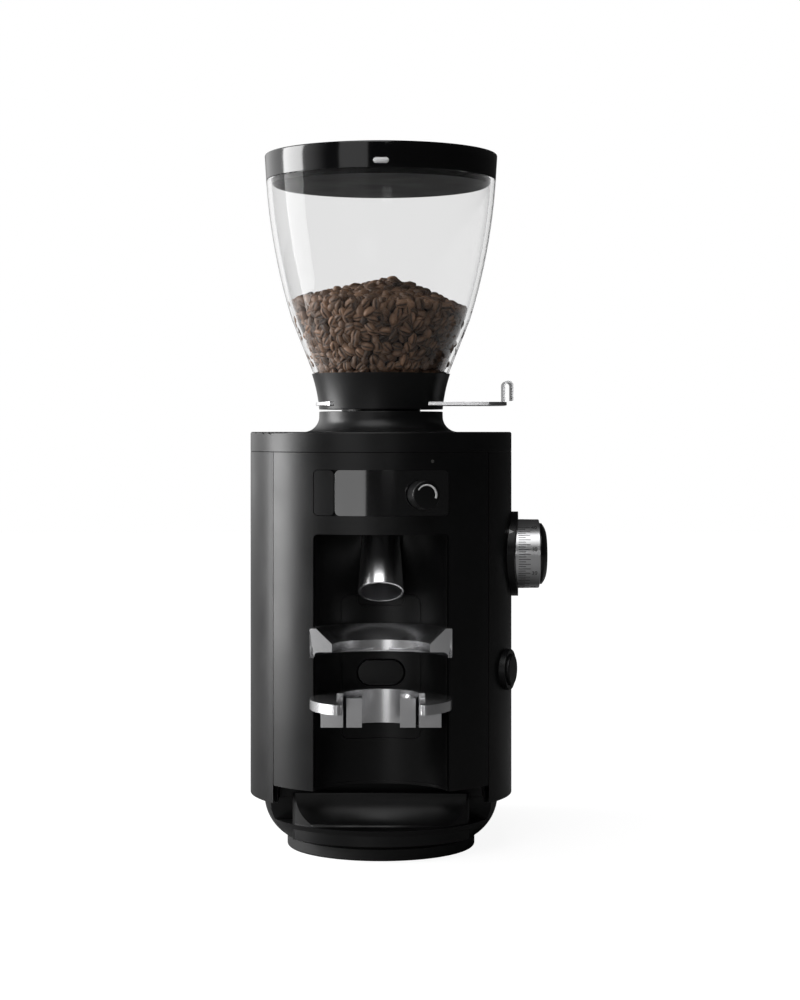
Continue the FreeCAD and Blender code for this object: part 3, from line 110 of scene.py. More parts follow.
# Soft edges, in millimetres, on the copies that stand for the visible solids
EDGE_ANGLE = math.radians(28)
EDGE_SEGMENTS = 3
EDGE_ROOM = 2.2
STRAIGHT_ON = -0.8
MERGE = 2e-6
FLAT_ANGLE = math.radians(0.2)
SOFT_EDGES = {
    "side_shell": 0.5, "front_panel": 0.5, "top_cap": 0.5, "base_pan": 0.4, "foot_pad": 0.4,
    "tray_bay": 0.3, "grounds_tray": 0.45, "niche_liner": 0.3, "holder_plate": 0.35, "holder_ring": 0.35,
    "holder_rest": 0.35, "start_button": 0.2, "spout": 0.3, "mode_key": 0.25, "display_window": 0.15,
    "selector_knob": 0.25, "dial_pad": 0.5, "dial_ring": 0.5, "dial_cap": 0.5, "power_bezel": 0.4,
    "power_button": 0.3, "hopper_collar": 0.4, "shutter_slide": 0.3, "hopper_lid": 0.3, "lid_plug": 0.4,
    "mains_inlet": 0.4,
}

# Hopper inside
HOPPER_FOOT_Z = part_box("bean_hopper")[0].z
HOPPER_KNEE_Z = HOPPER_FOOT_Z + 43 * MM
HOPPER_BELLY_Z = HOPPER_FOOT_Z + 77 * MM
HOPPER_FOOT_R = 34.1 * MM
HOPPER_KNEE_R = 51.2 * MM
HOPPER_BELLY_R = 60.0 * MM

# One bean: a dome over a flatter side with a crease; its turns are in degrees from the crease
BEAN_LENGTH = 7.8 * MM
BEAN_WIDTH = 5.6 * MM
BEAN_DOME = 3.2 * MM
BEAN_FLAT = 0.62
BEAN_CREASE = 0.14
BEAN_GROOVE = 0.24
BEAN_RINGS = 8
BEAN_TURNS = (0, 9, 24, 56, 100, 140, 180, 220, 260, 304, 336, 351)
# Share of the bean's tone kept at the crease and the turns beside it: painted shade in the crease
BEAN_PAINTED_CREASE_SHADE = {0: 0.0, 9: 0.4, 351: 0.4}
BEAN_SIZES = (0.86, 1.1)
BEAN_TONE = 0.55
BEAN_TONE_STRAY = 0.2
BEAN_ROLL = 0.25
BEAN_TIP = 0.2
BEAN_DOMES_OUT = 0.3

# Beans in rows on the hopper wall, and over a heap with a core painted in shade
BEAN_SEED = 7
BEAN_FLOOR_Z = HOPPER_FOOT_Z + 5 * MM
BEAN_FIRST_ROW = 2 * MM
BEAN_ROW = 3.9 * MM
BEAN_PITCH = 5.4 * MM
BEAN_SWAY = 0.25
BEAN_SHIFT = 1.1 * MM
BEAN_SETBACK = 0.9 * MM
BEAN_WALL_GAP = 2.9 * MM
BEAN_UNDER_TOP = 1 * MM
HEAP_BEANS = 420
HEAP_X = 8 * MM
HEAP_Z = HOPPER_FOOT_Z + 69 * MM
HEAP_FALL_LEFT = 0.226
HEAP_FALL_RIGHT = 0.444
HEAP_RIM_Z = HOPPER_FOOT_Z + 52 * MM
HEAP_RIM_GAP = 3.6 * MM
HEAP_SINK = (0.8 * MM, 3.0 * MM)
HEAP_TILT = 0.25
CORE_SIDES = 36
CORE_LEVELS = 6
CORE_INSET = 4.4 * MM
CORE_SUNK = 3.6 * MM

# Printed marks
MARK_LIFT = 0.05 * MM
MARK_THICK = 0.05 * MM
DIAL_UNITS = 40
DIAL_STEP = math.radians(330) / DIAL_UNITS
DIAL_READING = 35
DIAL_READING_ANGLE = math.radians(10)
DIAL_LINE_START = 2.4 * MM
DIAL_LINE_LONG = 7.2 * MM
DIAL_LINE_SHORT = 4.4 * MM
DIAL_LINE_HALF = 0.17 * MM
DIAL_LABEL_EVERY = 5
DIAL_LABEL_HEIGHT = 3.5 * MM
DIAL_LABEL_START = 7.9 * MM
POINTER_ANGLE = math.radians(34)
POINTER_GAP = 0.4 * MM
POINTER_LENGTH = 3.0 * MM
POINTER_HALF = 1.5 * MM
LID_TAPER = 0.9 * MM
LID_MARK_RISE = 4.0 * MM
LID_MARK_HALF = 4.6 * MM
LID_MARK_CORNER = 1.65 * MM
LID_MARK_STEPS = 40
KNOB_MARK_R = 5.7 * MM
KNOB_MARK_START = 150
KNOB_MARK_SWEEP = 170
KNOB_MARK_THIN = 0.35 * MM
KNOB_MARK_GROWTH = 0.35 * MM
KNOB_MARK_STEPS = 24


# Shader building

def add(material, kind, **values):
    node = material.node_tree.nodes.new(kind)
    for key, value in values.items():
        setattr(node, key, value)
    return node


def join(material, source, target):
    material.node_tree.links.new(source, target)


def noise(material, size, stretch=(1, 1, 1), detail=5.0):
    """Noise with grains of a size in metres; stretch below 1 draws them out along that axis."""
    place = add(material, "ShaderNodeTexCoord")
    mapping = add(material, "ShaderNodeMapping")
    mapping.inputs["Scale"].default_value = stretch
    texture = add(material, "ShaderNodeTexNoise")
    texture.inputs["Scale"].default_value = 1 / size
    texture.inputs["Detail"].default_value = detail
    join(material, place.outputs["Object"], mapping.inputs["Vector"])
    join(material, mapping.outputs["Vector"], texture.inputs["Vector"])
    return texture.outputs["Fac"]


def spread(material, value, low, high):
    """Noise, which stays near its middle, spread from one number to another."""
    ranged = add(material, "ShaderNodeMapRange")
    ranged.inputs["From Min"].default_value = NOISE_LOW
    ranged.inputs["From Max"].default_value = NOISE_HIGH
    ranged.inputs["To Min"].default_value = low
    ranged.inputs["To Max"].default_value = high
    join(material, value, ranged.inputs["Value"])
    return ranged.outputs["Result"]


def two_tone(material, share, first, second):
    mix = add(material, "ShaderNodeMix", data_type="RGBA")
    mix.inputs[6].default_value = (*first, 1)
    mix.inputs[7].default_value = (*second, 1)
    join(material, share, mix.inputs[0])
    return mix.outputs[2]


def bump(material, height, depth):
    node = add(material, "ShaderNodeBump")
    node.inputs["Distance"].default_value = depth
    join(material, height, node.inputs["Height"])
    return node.outputs["Normal"]


def blank(name, **sockets):
    """Material with numbers set on its shader; underscores in the names stand for spaces."""
    material = bpy.data.materials.new(name)
    material.use_nodes = True
    shader = material.node_tree.nodes["Principled BSDF"]
    for socket, value in sockets.items():
        shader.inputs[socket.replace("_", " ")].default_value = value
    return material, shader


def finish(name, colour, rough, grain, depth, stretch=(1, 1, 1), shade=0.2, patch=0.03, **sockets):
    """Surface with a fine grain in its bump and soft patches in its colour and roughness."""
    material, shader = blank(name, **sockets)
    patches = noise(material, patch)
    fine = noise(material, grain, stretch)
    dark = tuple(part * (1 - shade) for part in colour)
    light = tuple(part * (1 + shade) for part in colour)
    tint = two_tone(material, spread(material, patches, 0, 1), dark, light)
    gloss = spread(material, patches, rough * (1 - ROUGH_STRAY), rough * (1 + ROUGH_STRAY))
    join(material, tint, shader.inputs["Base Color"])
    join(material, gloss, shader.inputs["Roughness"])
    join(material, bump(material, fine, depth), shader.inputs["Normal"])
    return material


def clear_plastic():
    material, shader = blank("clear", Base_Color=(0.88, 0.88, 0.88, 1), IOR=1.18, Transmission_Weight=1.0)
    haze = noise(material, 0.02)
    waves = noise(material, 0.03, detail=0.0)
    join(material, spread(material, haze, 0.0, 0.02), shader.inputs["Roughness"])
    join(material, bump(material, waves, 1e-6), shader.inputs["Normal"])
    return material


def bean_coat():
    """Roasted bean: tone by bean, with painted shade in the crease and on the core, a fine wrinkled skin
    with a little oil.
    """
    material, shader = blank("roasted_bean", Specular_IOR_Level=0.4)
    tone_and_painted_shade = add(material, "ShaderNodeAttribute", attribute_name="tone_and_painted_shade")
    speckle = noise(material, 0.0012)
    # The tone attribute holds each bean's own tone times the painted shade of its crease, and the painted
    # shade of the core
    base = two_tone(material, tone_and_painted_shade.outputs["Fac"], (0.016, 0.008, 0.004), (0.27, 0.155, 0.092))
    flecks = two_tone(material, spread(material, speckle, 0, 1), (0.45, 0.42, 0.4), (1, 1, 1))
    mottle = add(material, "ShaderNodeMix", data_type="RGBA", blend_type="MULTIPLY")
    mottle.inputs[0].default_value = 0.5
    join(material, base, mottle.inputs[6])
    join(material, flecks, mottle.inputs[7])
    join(material, mottle.outputs[2], shader.inputs["Base Color"])
    join(material, spread(material, speckle, 0.4, 0.55), shader.inputs["Roughness"])
    join(material, bump(material, speckle, 8e-5), shader.inputs["Normal"])
    return material


def finishes():
    """One material for each slot of the record."""
    metal = {"Metallic": 1.0}
    dull = {"Specular_IOR_Level": 0.3}
    round_brush = (1, 0.015, 0.015)
    sheets = (0.03, 0.03, 1)
    made = [
        finish("satin_black", (0.005, 0.005, 0.0053), 0.34, 0.0005, 8e-6, **dull),
        finish("matte_black", (0.005, 0.005, 0.0053), 0.36, 0.00035, 1e-5, **dull),
        finish("gloss_black", (0.003, 0.003, 0.0034), 0.1, 0.03, 1e-6, IOR=1.52),
        clear_plastic(),
        finish("chrome", (0.76, 0.76, 0.77), 0.24, 0.0008, 2e-6, shade=0.03, **metal),
        finish("satin_metal", (0.70, 0.70, 0.71), 0.24, 0.0006, 2e-6, shade=0.05, **metal),
        finish("dial_metal", (0.72, 0.72, 0.73), 0.3, 0.0004, 1.5e-6, round_brush, 0.04, **metal),
        finish("steel", (0.55, 0.55, 0.56), 0.3, 0.0006, 6e-6, shade=0.08, **metal),
        finish("casting", (0.45, 0.45, 0.46), 0.5, 0.0015, 6e-5, **metal),
        finish("iron", (0.13, 0.13, 0.14), 0.5, 0.0005, 3e-5, sheets, Metallic=0.8),
        finish("motor_paint", (0.05, 0.05, 0.056), 0.35, 0.001, 2e-5),
        finish("board", (0.015, 0.085, 0.035), 0.4, 0.0012, 1e-5, shade=0.35, patch=0.006),
        finish("switch_body", (0.03, 0.03, 0.03), 0.5, 0.0004, 2e-5),
        finish("bronze", (0.50, 0.33, 0.14), 0.4, 0.0005, 2e-5, **metal),
        finish("rubber", (0.011, 0.011, 0.0115), 0.72, 0.0008, 4e-5),
        finish("light", (0.10, 0.10, 0.095), 0.25, 0.0004, 5e-6),
    ]
    return {material.name: material for material in made}


# Pieces

def piece(name, mesh, material, body):
    """New object in the scene that rides on a body."""
    made = bpy.data.objects.new(name, mesh)
    SCENE.collection.objects.link(made)
    mesh.materials.clear()
    mesh.materials.append(material)
    for face in mesh.polygons:
        face.use_smooth = True
    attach(made, body)
    return made


def mesh_of(name, form):
    """Mesh out of a finished form, which is freed."""
    mesh = bpy.data.meshes.new(name)
    form.to_mesh(mesh)
    form.free()
    return mesh


def has_room(edge, vertex, width):
    """Whether the edges that turn off at an end are long enough for a soft edge."""
    forward = (edge.other_vert(vertex).co - vertex.co).normalized()
    for other in vertex.link_edges:
        way = (other.other_vert(vertex).co - vertex.co).normalized()
        goes_on = forward.dot(way) < STRAIGHT_ON
        if other is not edge and not goes_on and other.calc_length() < EDGE_ROOM * width:
            return False
    return True


def softened(node, width, materials):
    """Copy of a solid with its edges rounded, which stands for it."""
    form = bmesh.new()
    form.from_mesh(frame["nodes"][node].data)
    bmesh.ops.remove_doubles(form, verts=form.verts, dist=MERGE)
    bmesh.ops.dissolve_limit(form, angle_limit=FLAT_ANGLE, verts=form.verts, edges=form.edges)
    weight = form.edges.layers.float.new("bevel_weight_edge")
    for edge in form.edges:
        sharp = len(edge.link_faces) == 2 and edge.calc_face_angle() > EDGE_ANGLE
        if sharp and all(has_room(edge, vertex, width) for vertex in edge.verts):
            edge[weight] = 1.0
    mesh = mesh_of(node + "_skin", form)
    for stale in ("custom_normal", "sharp_edge", "sharp_face"):
        if stale in mesh.attributes:
            mesh.attributes.remove(mesh.attributes[stale])
    made = piece(node + "_skin", mesh, materials[SLOT_OF[node]], BODY_OF[node])
    edge = made.modifiers.new("edge", "BEVEL")
    edge.width = width
    edge.segments = EDGE_SEGMENTS
    edge.limit_method = "WEIGHT"
    edge.harden_normals = True
    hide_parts(node)


# Beans

def hopper_radius(z):
    """Inside radius of the hopper at a height."""
    if z < HOPPER_KNEE_Z:
        share = (z - HOPPER_FOOT_Z) / (HOPPER_KNEE_Z - HOPPER_FOOT_Z)
        return HOPPER_FOOT_R + share * (HOPPER_KNEE_R - HOPPER_FOOT_R)
    share = (z - HOPPER_KNEE_Z) / (HOPPER_BELLY_Z - HOPPER_KNEE_Z)
    return HOPPER_KNEE_R + share * (HOPPER_BELLY_R - HOPPER_KNEE_R)


def heap_height(x, y):
    """Top of the bean heap: a low cone off centre, steeper on the right."""
    away = math.hypot(x - HEAP_X, y)
    lean = 0.5 + 0.5 * (x - HEAP_X) / max(away, MM)
    return HEAP_Z - away * (HEAP_FALL_LEFT + lean * (HEAP_FALL_RIGHT - HEAP_FALL_LEFT))


def bridge(form, loops):
    """Four-sided faces between each ring of points and the next."""
    for near, far in zip(loops, loops[1:]):
        sides = len(near)
        for side in range(sides):
            after = (side + 1) % sides
            form.faces.new((near[side], near[after], far[after], far[side]))


def bean_point(lengthwise, around, size):
    """Point of an egg form with a flatter underside and a crease along it."""
    girth = math.sqrt(max(0.0, 1 - lengthwise * lengthwise))
    side = girth * math.cos(around)
    rise = girth * math.sin(around)
    if rise < 0:
        crease = math.exp(-(side / BEAN_CREASE) ** 2) * (1 - lengthwise ** 4)
        rise = BEAN_FLAT * rise + BEAN_GROOVE * crease * girth
    return Vector((lengthwise * BEAN_LENGTH / 2, side * BEAN_WIDTH / 2, rise * BEAN_DOME)) * size


def add_bean(form, tone_and_painted_shade, place, facing, draw):
    """One bean at a place, lying along a surface that faces a direction."""
    dome_out = draw.random() < BEAN_DOMES_OUT
    way = facing if dome_out else -facing
    turn = way.to_track_quat("Z", "X").to_matrix() @ Matrix.Rotation(draw.uniform(0, math.tau), 3, "Z")
    turn = turn @ Matrix.Rotation(draw.gauss(0, BEAN_ROLL), 3, "X")
    turn = turn @ Matrix.Rotation(draw.gauss(0, BEAN_TIP), 3, "Y")
    size = draw.uniform(*BEAN_SIZES)
    if not dome_out:
        place = place + facing * BEAN_DOME * (1 - BEAN_FLAT) * size
    shade = min(1.0, max(0.0, draw.gauss(BEAN_TONE, BEAN_TONE_STRAY)))
    loops = []
    for ring in range(BEAN_RINGS):
        lengthwise = -math.cos(math.pi * (ring + 0.5) / BEAN_RINGS)
        loop = []
        for degrees in BEAN_TURNS:
            around = math.radians(degrees - 90)
            vertex = form.verts.new(place + turn @ bean_point(lengthwise, around, size))
            # Painted shade: the crease line and the turns beside it take a darker tone
            vertex[tone_and_painted_shade] = shade * BEAN_PAINTED_CREASE_SHADE.get(degrees, 1.0)
            loop.append(vertex)
        loops.append(loop)
    bridge(form, loops)
    form.faces.new(reversed(loops[0]))
    form.faces.new(loops[-1])


def add_core(form, tone_and_painted_shade):
    """Mass under the outer beans, so that no light comes through between them, painted in the darkest bean
    tone as painted shade between the beans.
    """
    rim = hopper_radius(HOPPER_KNEE_Z) - CORE_INSET
    loops = []
    for level in range(CORE_LEVELS):
        loop = []
        for side in range(CORE_SIDES):
            angle = math.tau * side / CORE_SIDES
            way = Vector((math.cos(angle), math.sin(angle), 0))
            top = heap_height(way.x * rim, way.y * rim) - CORE_SUNK
            z = BEAN_FLOOR_Z + (top - BEAN_FLOOR_Z) * level / (CORE_LEVELS - 1)
            vertex = form.verts.new(way * (hopper_radius(z) - CORE_INSET) + UP * z)
            # Painted shade: the core takes the darkest bean tone
            vertex[tone_and_painted_shade] = 0.0
            loop.append(vertex)
        loops.append(loop)
    bridge(form, loops)
    peak = form.verts.new((HEAP_X, 0, HEAP_Z - CORE_SUNK))
    foot = form.verts.new((0, 0, BEAN_FLOOR_Z))
    for side in range(CORE_SIDES):
        after = (side + 1) % CORE_SIDES
        form.faces.new((loops[-1][side], loops[-1][after], peak))
        form.faces.new((loops[0][after], loops[0][side], foot))


def add_wall_beans(form, tone_and_painted_shade, draw):
    """Rows of beans against the hopper wall, up to the top of the heap."""
    lean = math.atan2(HOPPER_KNEE_R - HOPPER_FOOT_R, HOPPER_KNEE_Z - HOPPER_FOOT_Z)
    z = BEAN_FLOOR_Z + BEAN_FIRST_ROW
    while z < HEAP_Z:
        radius = hopper_radius(z) - BEAN_WALL_GAP
        count = int(math.tau * radius / BEAN_PITCH)
        shift = draw.uniform(0, math.tau)
        for index in range(count):
            angle = shift + math.tau * (index + draw.uniform(-BEAN_SWAY, BEAN_SWAY)) / count
            way = Vector((math.cos(angle), math.sin(angle), 0))
            place = way * (radius - draw.uniform(0, BEAN_SETBACK))
            place.z = z + draw.uniform(-BEAN_SHIFT, BEAN_SHIFT)
            if place.z < heap_height(place.x, place.y) - BEAN_UNDER_TOP:
                add_bean(form, tone_and_painted_shade, place, way * math.cos(lean) - UP * math.sin(lean), draw)
        z += BEAN_ROW


def add_heap_beans(form, tone_and_painted_shade, draw):
    """Beans spread evenly over the heap, on a sunflower spiral."""
    golden = math.pi * (3 - math.sqrt(5))
    rim = hopper_radius(HEAP_RIM_Z) - HEAP_RIM_GAP
    for index in range(HEAP_BEANS):
        radius = rim * math.sqrt((index + 0.5) / HEAP_BEANS)
        x = radius * math.cos(index * golden)
        y = radius * math.sin(index * golden)
        place = Vector((x, y, heap_height(x, y) - draw.uniform(*HEAP_SINK)))
        facing = Vector((HEAP_TILT * x / rim, HEAP_TILT * y / rim, 1)).normalized()
        add_bean(form, tone_and_painted_shade, place, facing, draw)


def beans():
    """Roasted beans against the hopper wall and over the heap, as one mesh."""
    draw = random.Random(BEAN_SEED)
    form = bmesh.new()
    tone_and_painted_shade = form.verts.layers.float.new("tone_and_painted_shade")
    add_core(form, tone_and_painted_shade)
    add_wall_beans(form, tone_and_painted_shade, draw)
    add_heap_beans(form, tone_and_painted_shade, draw)
    bmesh.ops.recalc_face_normals(form, faces=form.faces)
    piece("coffee_beans", mesh_of("coffee_beans", form), bean_coat(), "hopper")


# Marks

def sheet_mesh(name, outlines):
    """Flat outlines, each a list of points in order."""
    form = bmesh.new()
    for outline in outlines:
        form.faces.new([form.verts.new(point) for point in outline])
    return mesh_of(name, form)


def print_mark(name, mesh, material, body):
    """Thin closed print out of flat outlines."""
    made = piece(name, mesh, material, body)
    thick = made.modifiers.new("print", "SOLIDIFY")
    thick.thickness = MARK_THICK
    thick.offset = 0


def barrel_of(node):
    """Height of the axis of a drum that lies along X, and the radius of a mark on it."""
    low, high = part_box(node)
    return (low.z + high.z) / 2, (high.z - low.z) / 2 + MARK_LIFT


def on_barrel(x, angle, radius, axis_z):
    """Point on a drum about the dial axis; the angle runs up from the front."""
    return Vector((x, -radius * math.cos(angle), axis_z + radius * math.sin(angle)))


def dial_angle(unit):
    return DIAL_READING_ANGLE + (unit - DIAL_READING) * DIAL_STEP


def dial_lines(start, radius, axis_z):
    """Long line for each unit and a short line for each half."""
    outlines = []
    half_angle = DIAL_LINE_HALF / radius
    for half in range(2 * DIAL_UNITS + 1):
        angle = dial_angle(half / 2)
        end = start + (DIAL_LINE_LONG if half % 2 == 0 else DIAL_LINE_SHORT)
        corners = [(start, -1), (end, -1), (end, 1), (start, 1)]
        outlines.append([on_barrel(x, angle + side * half_angle, radius, axis_z) for x, side in corners])
    return sheet_mesh("dial_lines", outlines)


def dial_label(unit, start, radius, axis_z):
    """Number of a unit, wrapped round the dial."""
    label = bpy.data.curves.new(f"label_{unit}", "FONT")
    label.body = str(unit)
    label.size = DIAL_LABEL_HEIGHT
    label.align_x = "LEFT"
    label.align_y = "CENTER"
    holder = bpy.data.objects.new(f"label_{unit}", label)
    flat = bpy.data.meshes.new_from_object(holder)
    for vertex in flat.vertices:
        turn = dial_angle(unit) + vertex.co.y / radius
        vertex.co = on_barrel(start + DIAL_LABEL_START + vertex.co.x, turn, radius, axis_z)
    bpy.data.objects.remove(holder)
    return flat


def dial_marks(ink):
    axis_z, radius = barrel_of("dial_ring")
    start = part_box("dial_ring")[0].x + DIAL_LINE_START
    form = bmesh.new()
    form.from_mesh(dial_lines(start, radius, axis_z))
    for unit in range(0, DIAL_UNITS + 1, DIAL_LABEL_EVERY):
        form.from_mesh(dial_label(unit, start, radius, axis_z))
    print_mark("dial_scale", mesh_of("dial_scale", form), ink, "grind_dial")


def dial_pointer(paint):
    """Small triangle on the front of the dial pad, towards the scale."""
    axis_z, radius = barrel_of("dial_pad")
    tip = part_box("dial_ring")[0].x - POINTER_GAP
    base = tip - POINTER_LENGTH
    half_angle = POINTER_HALF / radius
    corners = [(base, POINTER_ANGLE - half_angle), (tip, POINTER_ANGLE), (base, POINTER_ANGLE + half_angle)]
    outline = [on_barrel(x, angle, radius, axis_z) for x, angle in corners]
    print_mark("dial_pointer", sheet_mesh("dial_pointer", [outline]), paint, "housing")


def strip(first, second):
    """Four-sided outlines between two rows of points."""
    count = len(first) - 1
    return [[first[i], first[i + 1], second[i + 1], second[i]] for i in range(count)]


def lid_mark(paint):
    """White rounded bar on the front of the lid."""
    low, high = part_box("hopper_lid")
    rim = (high.x - low.x) / 2

    def edge_point(step, side):
        x = -LID_MARK_HALF * math.cos(math.pi * (step + 0.5) / LID_MARK_STEPS)
        beyond = max(0.0, abs(x) - (LID_MARK_HALF - LID_MARK_CORNER))
        z = low.z + LID_MARK_RISE + side * math.sqrt(LID_MARK_CORNER ** 2 - beyond ** 2)
        radius = rim - LID_TAPER * (high.z - z) / (high.z - low.z) + MARK_LIFT
        return Vector((radius * math.sin(x / rim), -radius * math.cos(x / rim), z))

    lower = [edge_point(step, -1) for step in range(LID_MARK_STEPS)]
    upper = [edge_point(step, 1) for step in range(LID_MARK_STEPS)]
    print_mark("lid_mark", sheet_mesh("lid_mark", strip(lower, upper)), paint, "lid")


def knob_mark(paint):
    """Arc that grows wider round the top of the selector's face."""
    joint = next(row for row in frame["joints"] if row["name"] == "selector_turn")
    axis = Vector(joint["axis"]).normalized()
    across = UP.cross(axis).normalized()
    knob = frame["nodes"]["selector_knob"]
    face = max(axis.dot(knob.matrix_world @ vertex.co) for vertex in knob.data.vertices)
    low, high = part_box("selector_knob")
    centre = axis * (face + MARK_LIFT) + UP * (low.z + high.z) / 2
    inner = []
    outer = []
    for step in range(KNOB_MARK_STEPS + 1):
        share = step / KNOB_MARK_STEPS
        angle = math.radians(KNOB_MARK_START - KNOB_MARK_SWEEP * share)
        half = KNOB_MARK_THIN + KNOB_MARK_GROWTH * share
        way = across * math.cos(angle) + UP * math.sin(angle)
        inner.append(centre + way * (KNOB_MARK_R - half))
        outer.append(centre + way * (KNOB_MARK_R + half))
    print_mark("knob_mark", sheet_mesh("knob_mark", strip(inner, outer)), paint, "selector")


# Stage

def camera():
    lens = bpy.data.cameras.new("camera")
    lens.lens = LENS
    lens.sensor_width = SENSOR
    lens.shift_x = SHIFT_X
    lens.shift_y = SHIFT_Y
    lens.clip_start = CLIP_NEAR
    lens.clip_end = CLIP_FAR
    made = bpy.data.objects.new("camera", lens)
    made.location = (0, CAMERA_Y, CAMERA_Z)
    made.rotation_euler = (math.radians(90), 0, 0)
    SCENE.collection.objects.link(made)
    SCENE.camera = made


def softbox(name, place, target, width, height, radiance):
    """Area light that looks at a point; its power gives the panel a set brightness."""
    lamp = bpy.data.lights.new(name, "AREA")
    lamp.shape = "RECTANGLE"
    lamp.size = width
    lamp.size_y = height
    lamp.energy = radiance * math.pi * width * height
    made = bpy.data.objects.new(name, lamp)
    made.location = place
    made.rotation_euler = (Vector(target) - Vector(place)).to_track_quat("-Z", "Y").to_euler()
    made.visible_camera = False
    made.visible_transmission = False
    SCENE.collection.objects.link(made)


def lights():
    """Large panels at the left, in front and above, and two small ones for the holder and the shutter."""
    middle = (0, 0, 0.22)
    holder = (-0.1, 0, 0.08)
    shutter = (0.05, 0, 0.268)
    softbox("key_left", (-1.1, 0.1, 0.35), middle, width=0.55, height=1.1, radiance=10.5)
    softbox("front_left", (-0.62, -1.25, 0.45), middle, width=0.7, height=0.8, radiance=0.9)
    softbox("top_front", (-0.3, -0.9, 1.5), middle, width=1.2, height=1.2, radiance=2.6)
    softbox("low_card", (-0.26, -1.0, 0.06), holder, width=0.34, height=0.11, radiance=2.0)
    softbox("bar_card", (0.1, -1.0, 0.285), shutter, width=0.14, height=0.06, radiance=4.0)


def combined(tree, operation, first, second):
    """One number out of two by an operation, held between 0 and 1."""
    node = tree.nodes.new("ShaderNodeMath")
    node.operation = operation
    node.use_clamp = True
    for socket, value in zip(node.inputs, (first, second)):
        if isinstance(value, (int, float)):
            socket.default_value = value
        else:
            tree.links.new(value, socket)
    return node.outputs[0]


def seen_white(tree, path):
    """One where the eye sees the backdrop, straight or through the clear hopper."""
    inside = path.outputs["Is Transmission Ray"]
    bounced = combined(tree, "ADD", path.outputs["Diffuse Depth"], path.outputs["Glossy Depth"])
    through = combined(tree, "SUBTRACT", inside, bounced)
    in_wall = combined(tree, "LESS_THAN", path.outputs["Transmission Depth"], WALL_CROSSINGS)
    in_wall = combined(tree, "MULTIPLY", in_wall, inside)
    in_wall = combined(tree, "SUBTRACT", in_wall, path.outputs["Diffuse Depth"])
    through = combined(tree, "MAXIMUM", through, in_wall)
    return combined(tree, "MAXIMUM", path.outputs["Is Camera Ray"], through)


def ramp(tree, value, low, high, at_low, at_high):
    """Number that goes smoothly from one level to another while a value goes from low to high."""
    ranged = tree.nodes.new("ShaderNodeMapRange")
    ranged.interpolation_type = "SMOOTHSTEP"
    tree.links.new(value, ranged.inputs["Value"])
    for socket, number in (("From Min", low), ("From Max", high), ("To Min", at_low), ("To Max", at_high)):
        ranged.inputs[socket].default_value = number
    return ranged.outputs["Result"]


def distance_along(tree, output, way):
    """How far a direction or a place lies along a way."""
    place = tree.nodes.new("ShaderNodeTexCoord")
    product = tree.nodes.new("ShaderNodeVectorMath")
    product.operation = "DOT_PRODUCT"
    product.inputs[1].default_value = way
    tree.links.new(place.outputs[output], product.inputs[0])
    return product.outputs["Value"]


def distance_out(tree):
    """How far a place lies from the middle."""
    place = tree.nodes.new("ShaderNodeTexCoord")
    away = tree.nodes.new("ShaderNodeVectorMath")
    away.operation = "LENGTH"
    tree.links.new(place.outputs["Object"], away.inputs[0])
    return away.outputs["Value"]


def world():
    """Backdrop white to the eye; metal and gloss see it where it stands, behind on the left."""
    made = bpy.data.worlds.new("studio")
    SCENE.world = made
    made.use_nodes = True
    tree = made.node_tree
    background = tree.nodes["Background"]
    background.inputs["Color"].default_value = (1, 1, 1, 1)
    path = tree.nodes.new("ShaderNodeLightPath")
    towards = distance_along(tree, "Generated", BACKDROP_WAY)
    backdrop = ramp(tree, towards, BACKDROP_FROM, BACKDROP_TO, BACKDROP_DIM, BACKDROP_BRIGHT)
    strength = tree.nodes.new("ShaderNodeMix")
    tree.links.new(seen_white(tree, path), strength.inputs[0])
    tree.links.new(backdrop, strength.inputs[2])
    strength.inputs[3].default_value = 1.0
    tree.links.new(strength.outputs[0], background.inputs["Strength"])


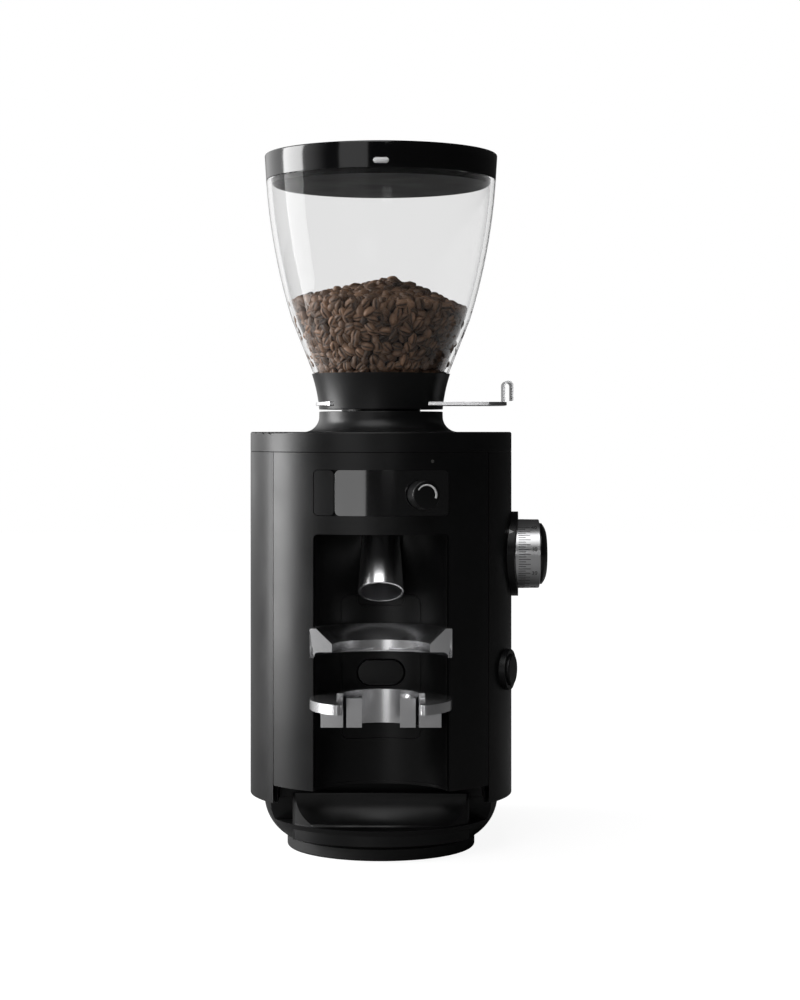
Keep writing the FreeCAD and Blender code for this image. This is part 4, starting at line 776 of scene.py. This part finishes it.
def floor_paint():
    """White to the eye with the shadow kept; metal sees it white only behind the object."""
    material, shader = blank("floor", Base_Color=(0.25, 0.25, 0.25, 1), Roughness=0.9,
                             Specular_IOR_Level=0.0, Emission_Color=(1, 1, 1, 1))
    tree = material.node_tree
    path = tree.nodes.new("ShaderNodeLightPath")
    towards = distance_along(tree, "Object", BACKDROP_WAY)
    behind = ramp(tree, towards, FLOOR_BEHIND_FROM, FLOOR_BEHIND_TO, 0.0, FLOOR_IN_METAL)
    in_metal = combined(tree, "MULTIPLY", path.outputs["Is Glossy Ray"], behind)
    seen = combined(tree, "MAXIMUM", seen_white(tree, path), in_metal)
    glow = ramp(tree, distance_out(tree), FLOOR_NEAR, FLOOR_FAR, FLOOR_GLOW, 1.0)
    tree.links.new(combined(tree, "MULTIPLY", seen, glow), shader.inputs["Emission Strength"])
    return material


def floor():
    mesh = bpy.data.meshes.new("floor")
    half = FLOOR_HALF
    corners = [(-half, -half, 0), (half, -half, 0), (half, half, 0), (-half, half, 0)]
    mesh.from_pydata(corners, [], [(0, 1, 2, 3)])
    mesh.materials.append(floor_paint())
    made = bpy.data.objects.new("floor", mesh)
    SCENE.collection.objects.link(made)


# Whole scene

def dress_solids(materials):
    """Own finish for each solid, and a softened copy for those that show."""
    for node, solid in frame["nodes"].items():
        solid.data.materials.clear()
        solid.data.materials.append(materials[SLOT_OF[node]])
    for node, width in SOFT_EDGES.items():
        softened(node, width * MM, materials)
    pane = finish("display_pane", (0.003, 0.003, 0.0034), 0.09, 0.03, 1e-6, IOR=2.2)
    plug = finish("plug_black", (0.004, 0.004, 0.0042), 0.4, 0.0004, 5e-6, Specular_IOR_Level=0.06)
    bpy.data.objects["display_window_skin"].data.materials[0] = pane
    bpy.data.objects["lid_plug_skin"].data.materials[0] = plug
    frame["nodes"]["bean_hopper"].visible_shadow = False


def marks():
    ink = finish("scale_ink", (0.02, 0.02, 0.02), 0.5, 0.0004, 5e-6)
    paint = finish("white_paint", (0.82, 0.82, 0.82), 0.45, 0.0004, 5e-6, shade=0.05)
    dial_marks(ink)
    dial_pointer(paint)
    lid_mark(paint)
    knob_mark(paint)


def main():
    SCENE.view_settings.view_transform = "Standard"
    for stale in list(bpy.data.materials):
        bpy.data.materials.remove(stale)
    camera()
    lights()
    world()
    floor()
    dress_solids(finishes())
    beans()
    marks()


main()
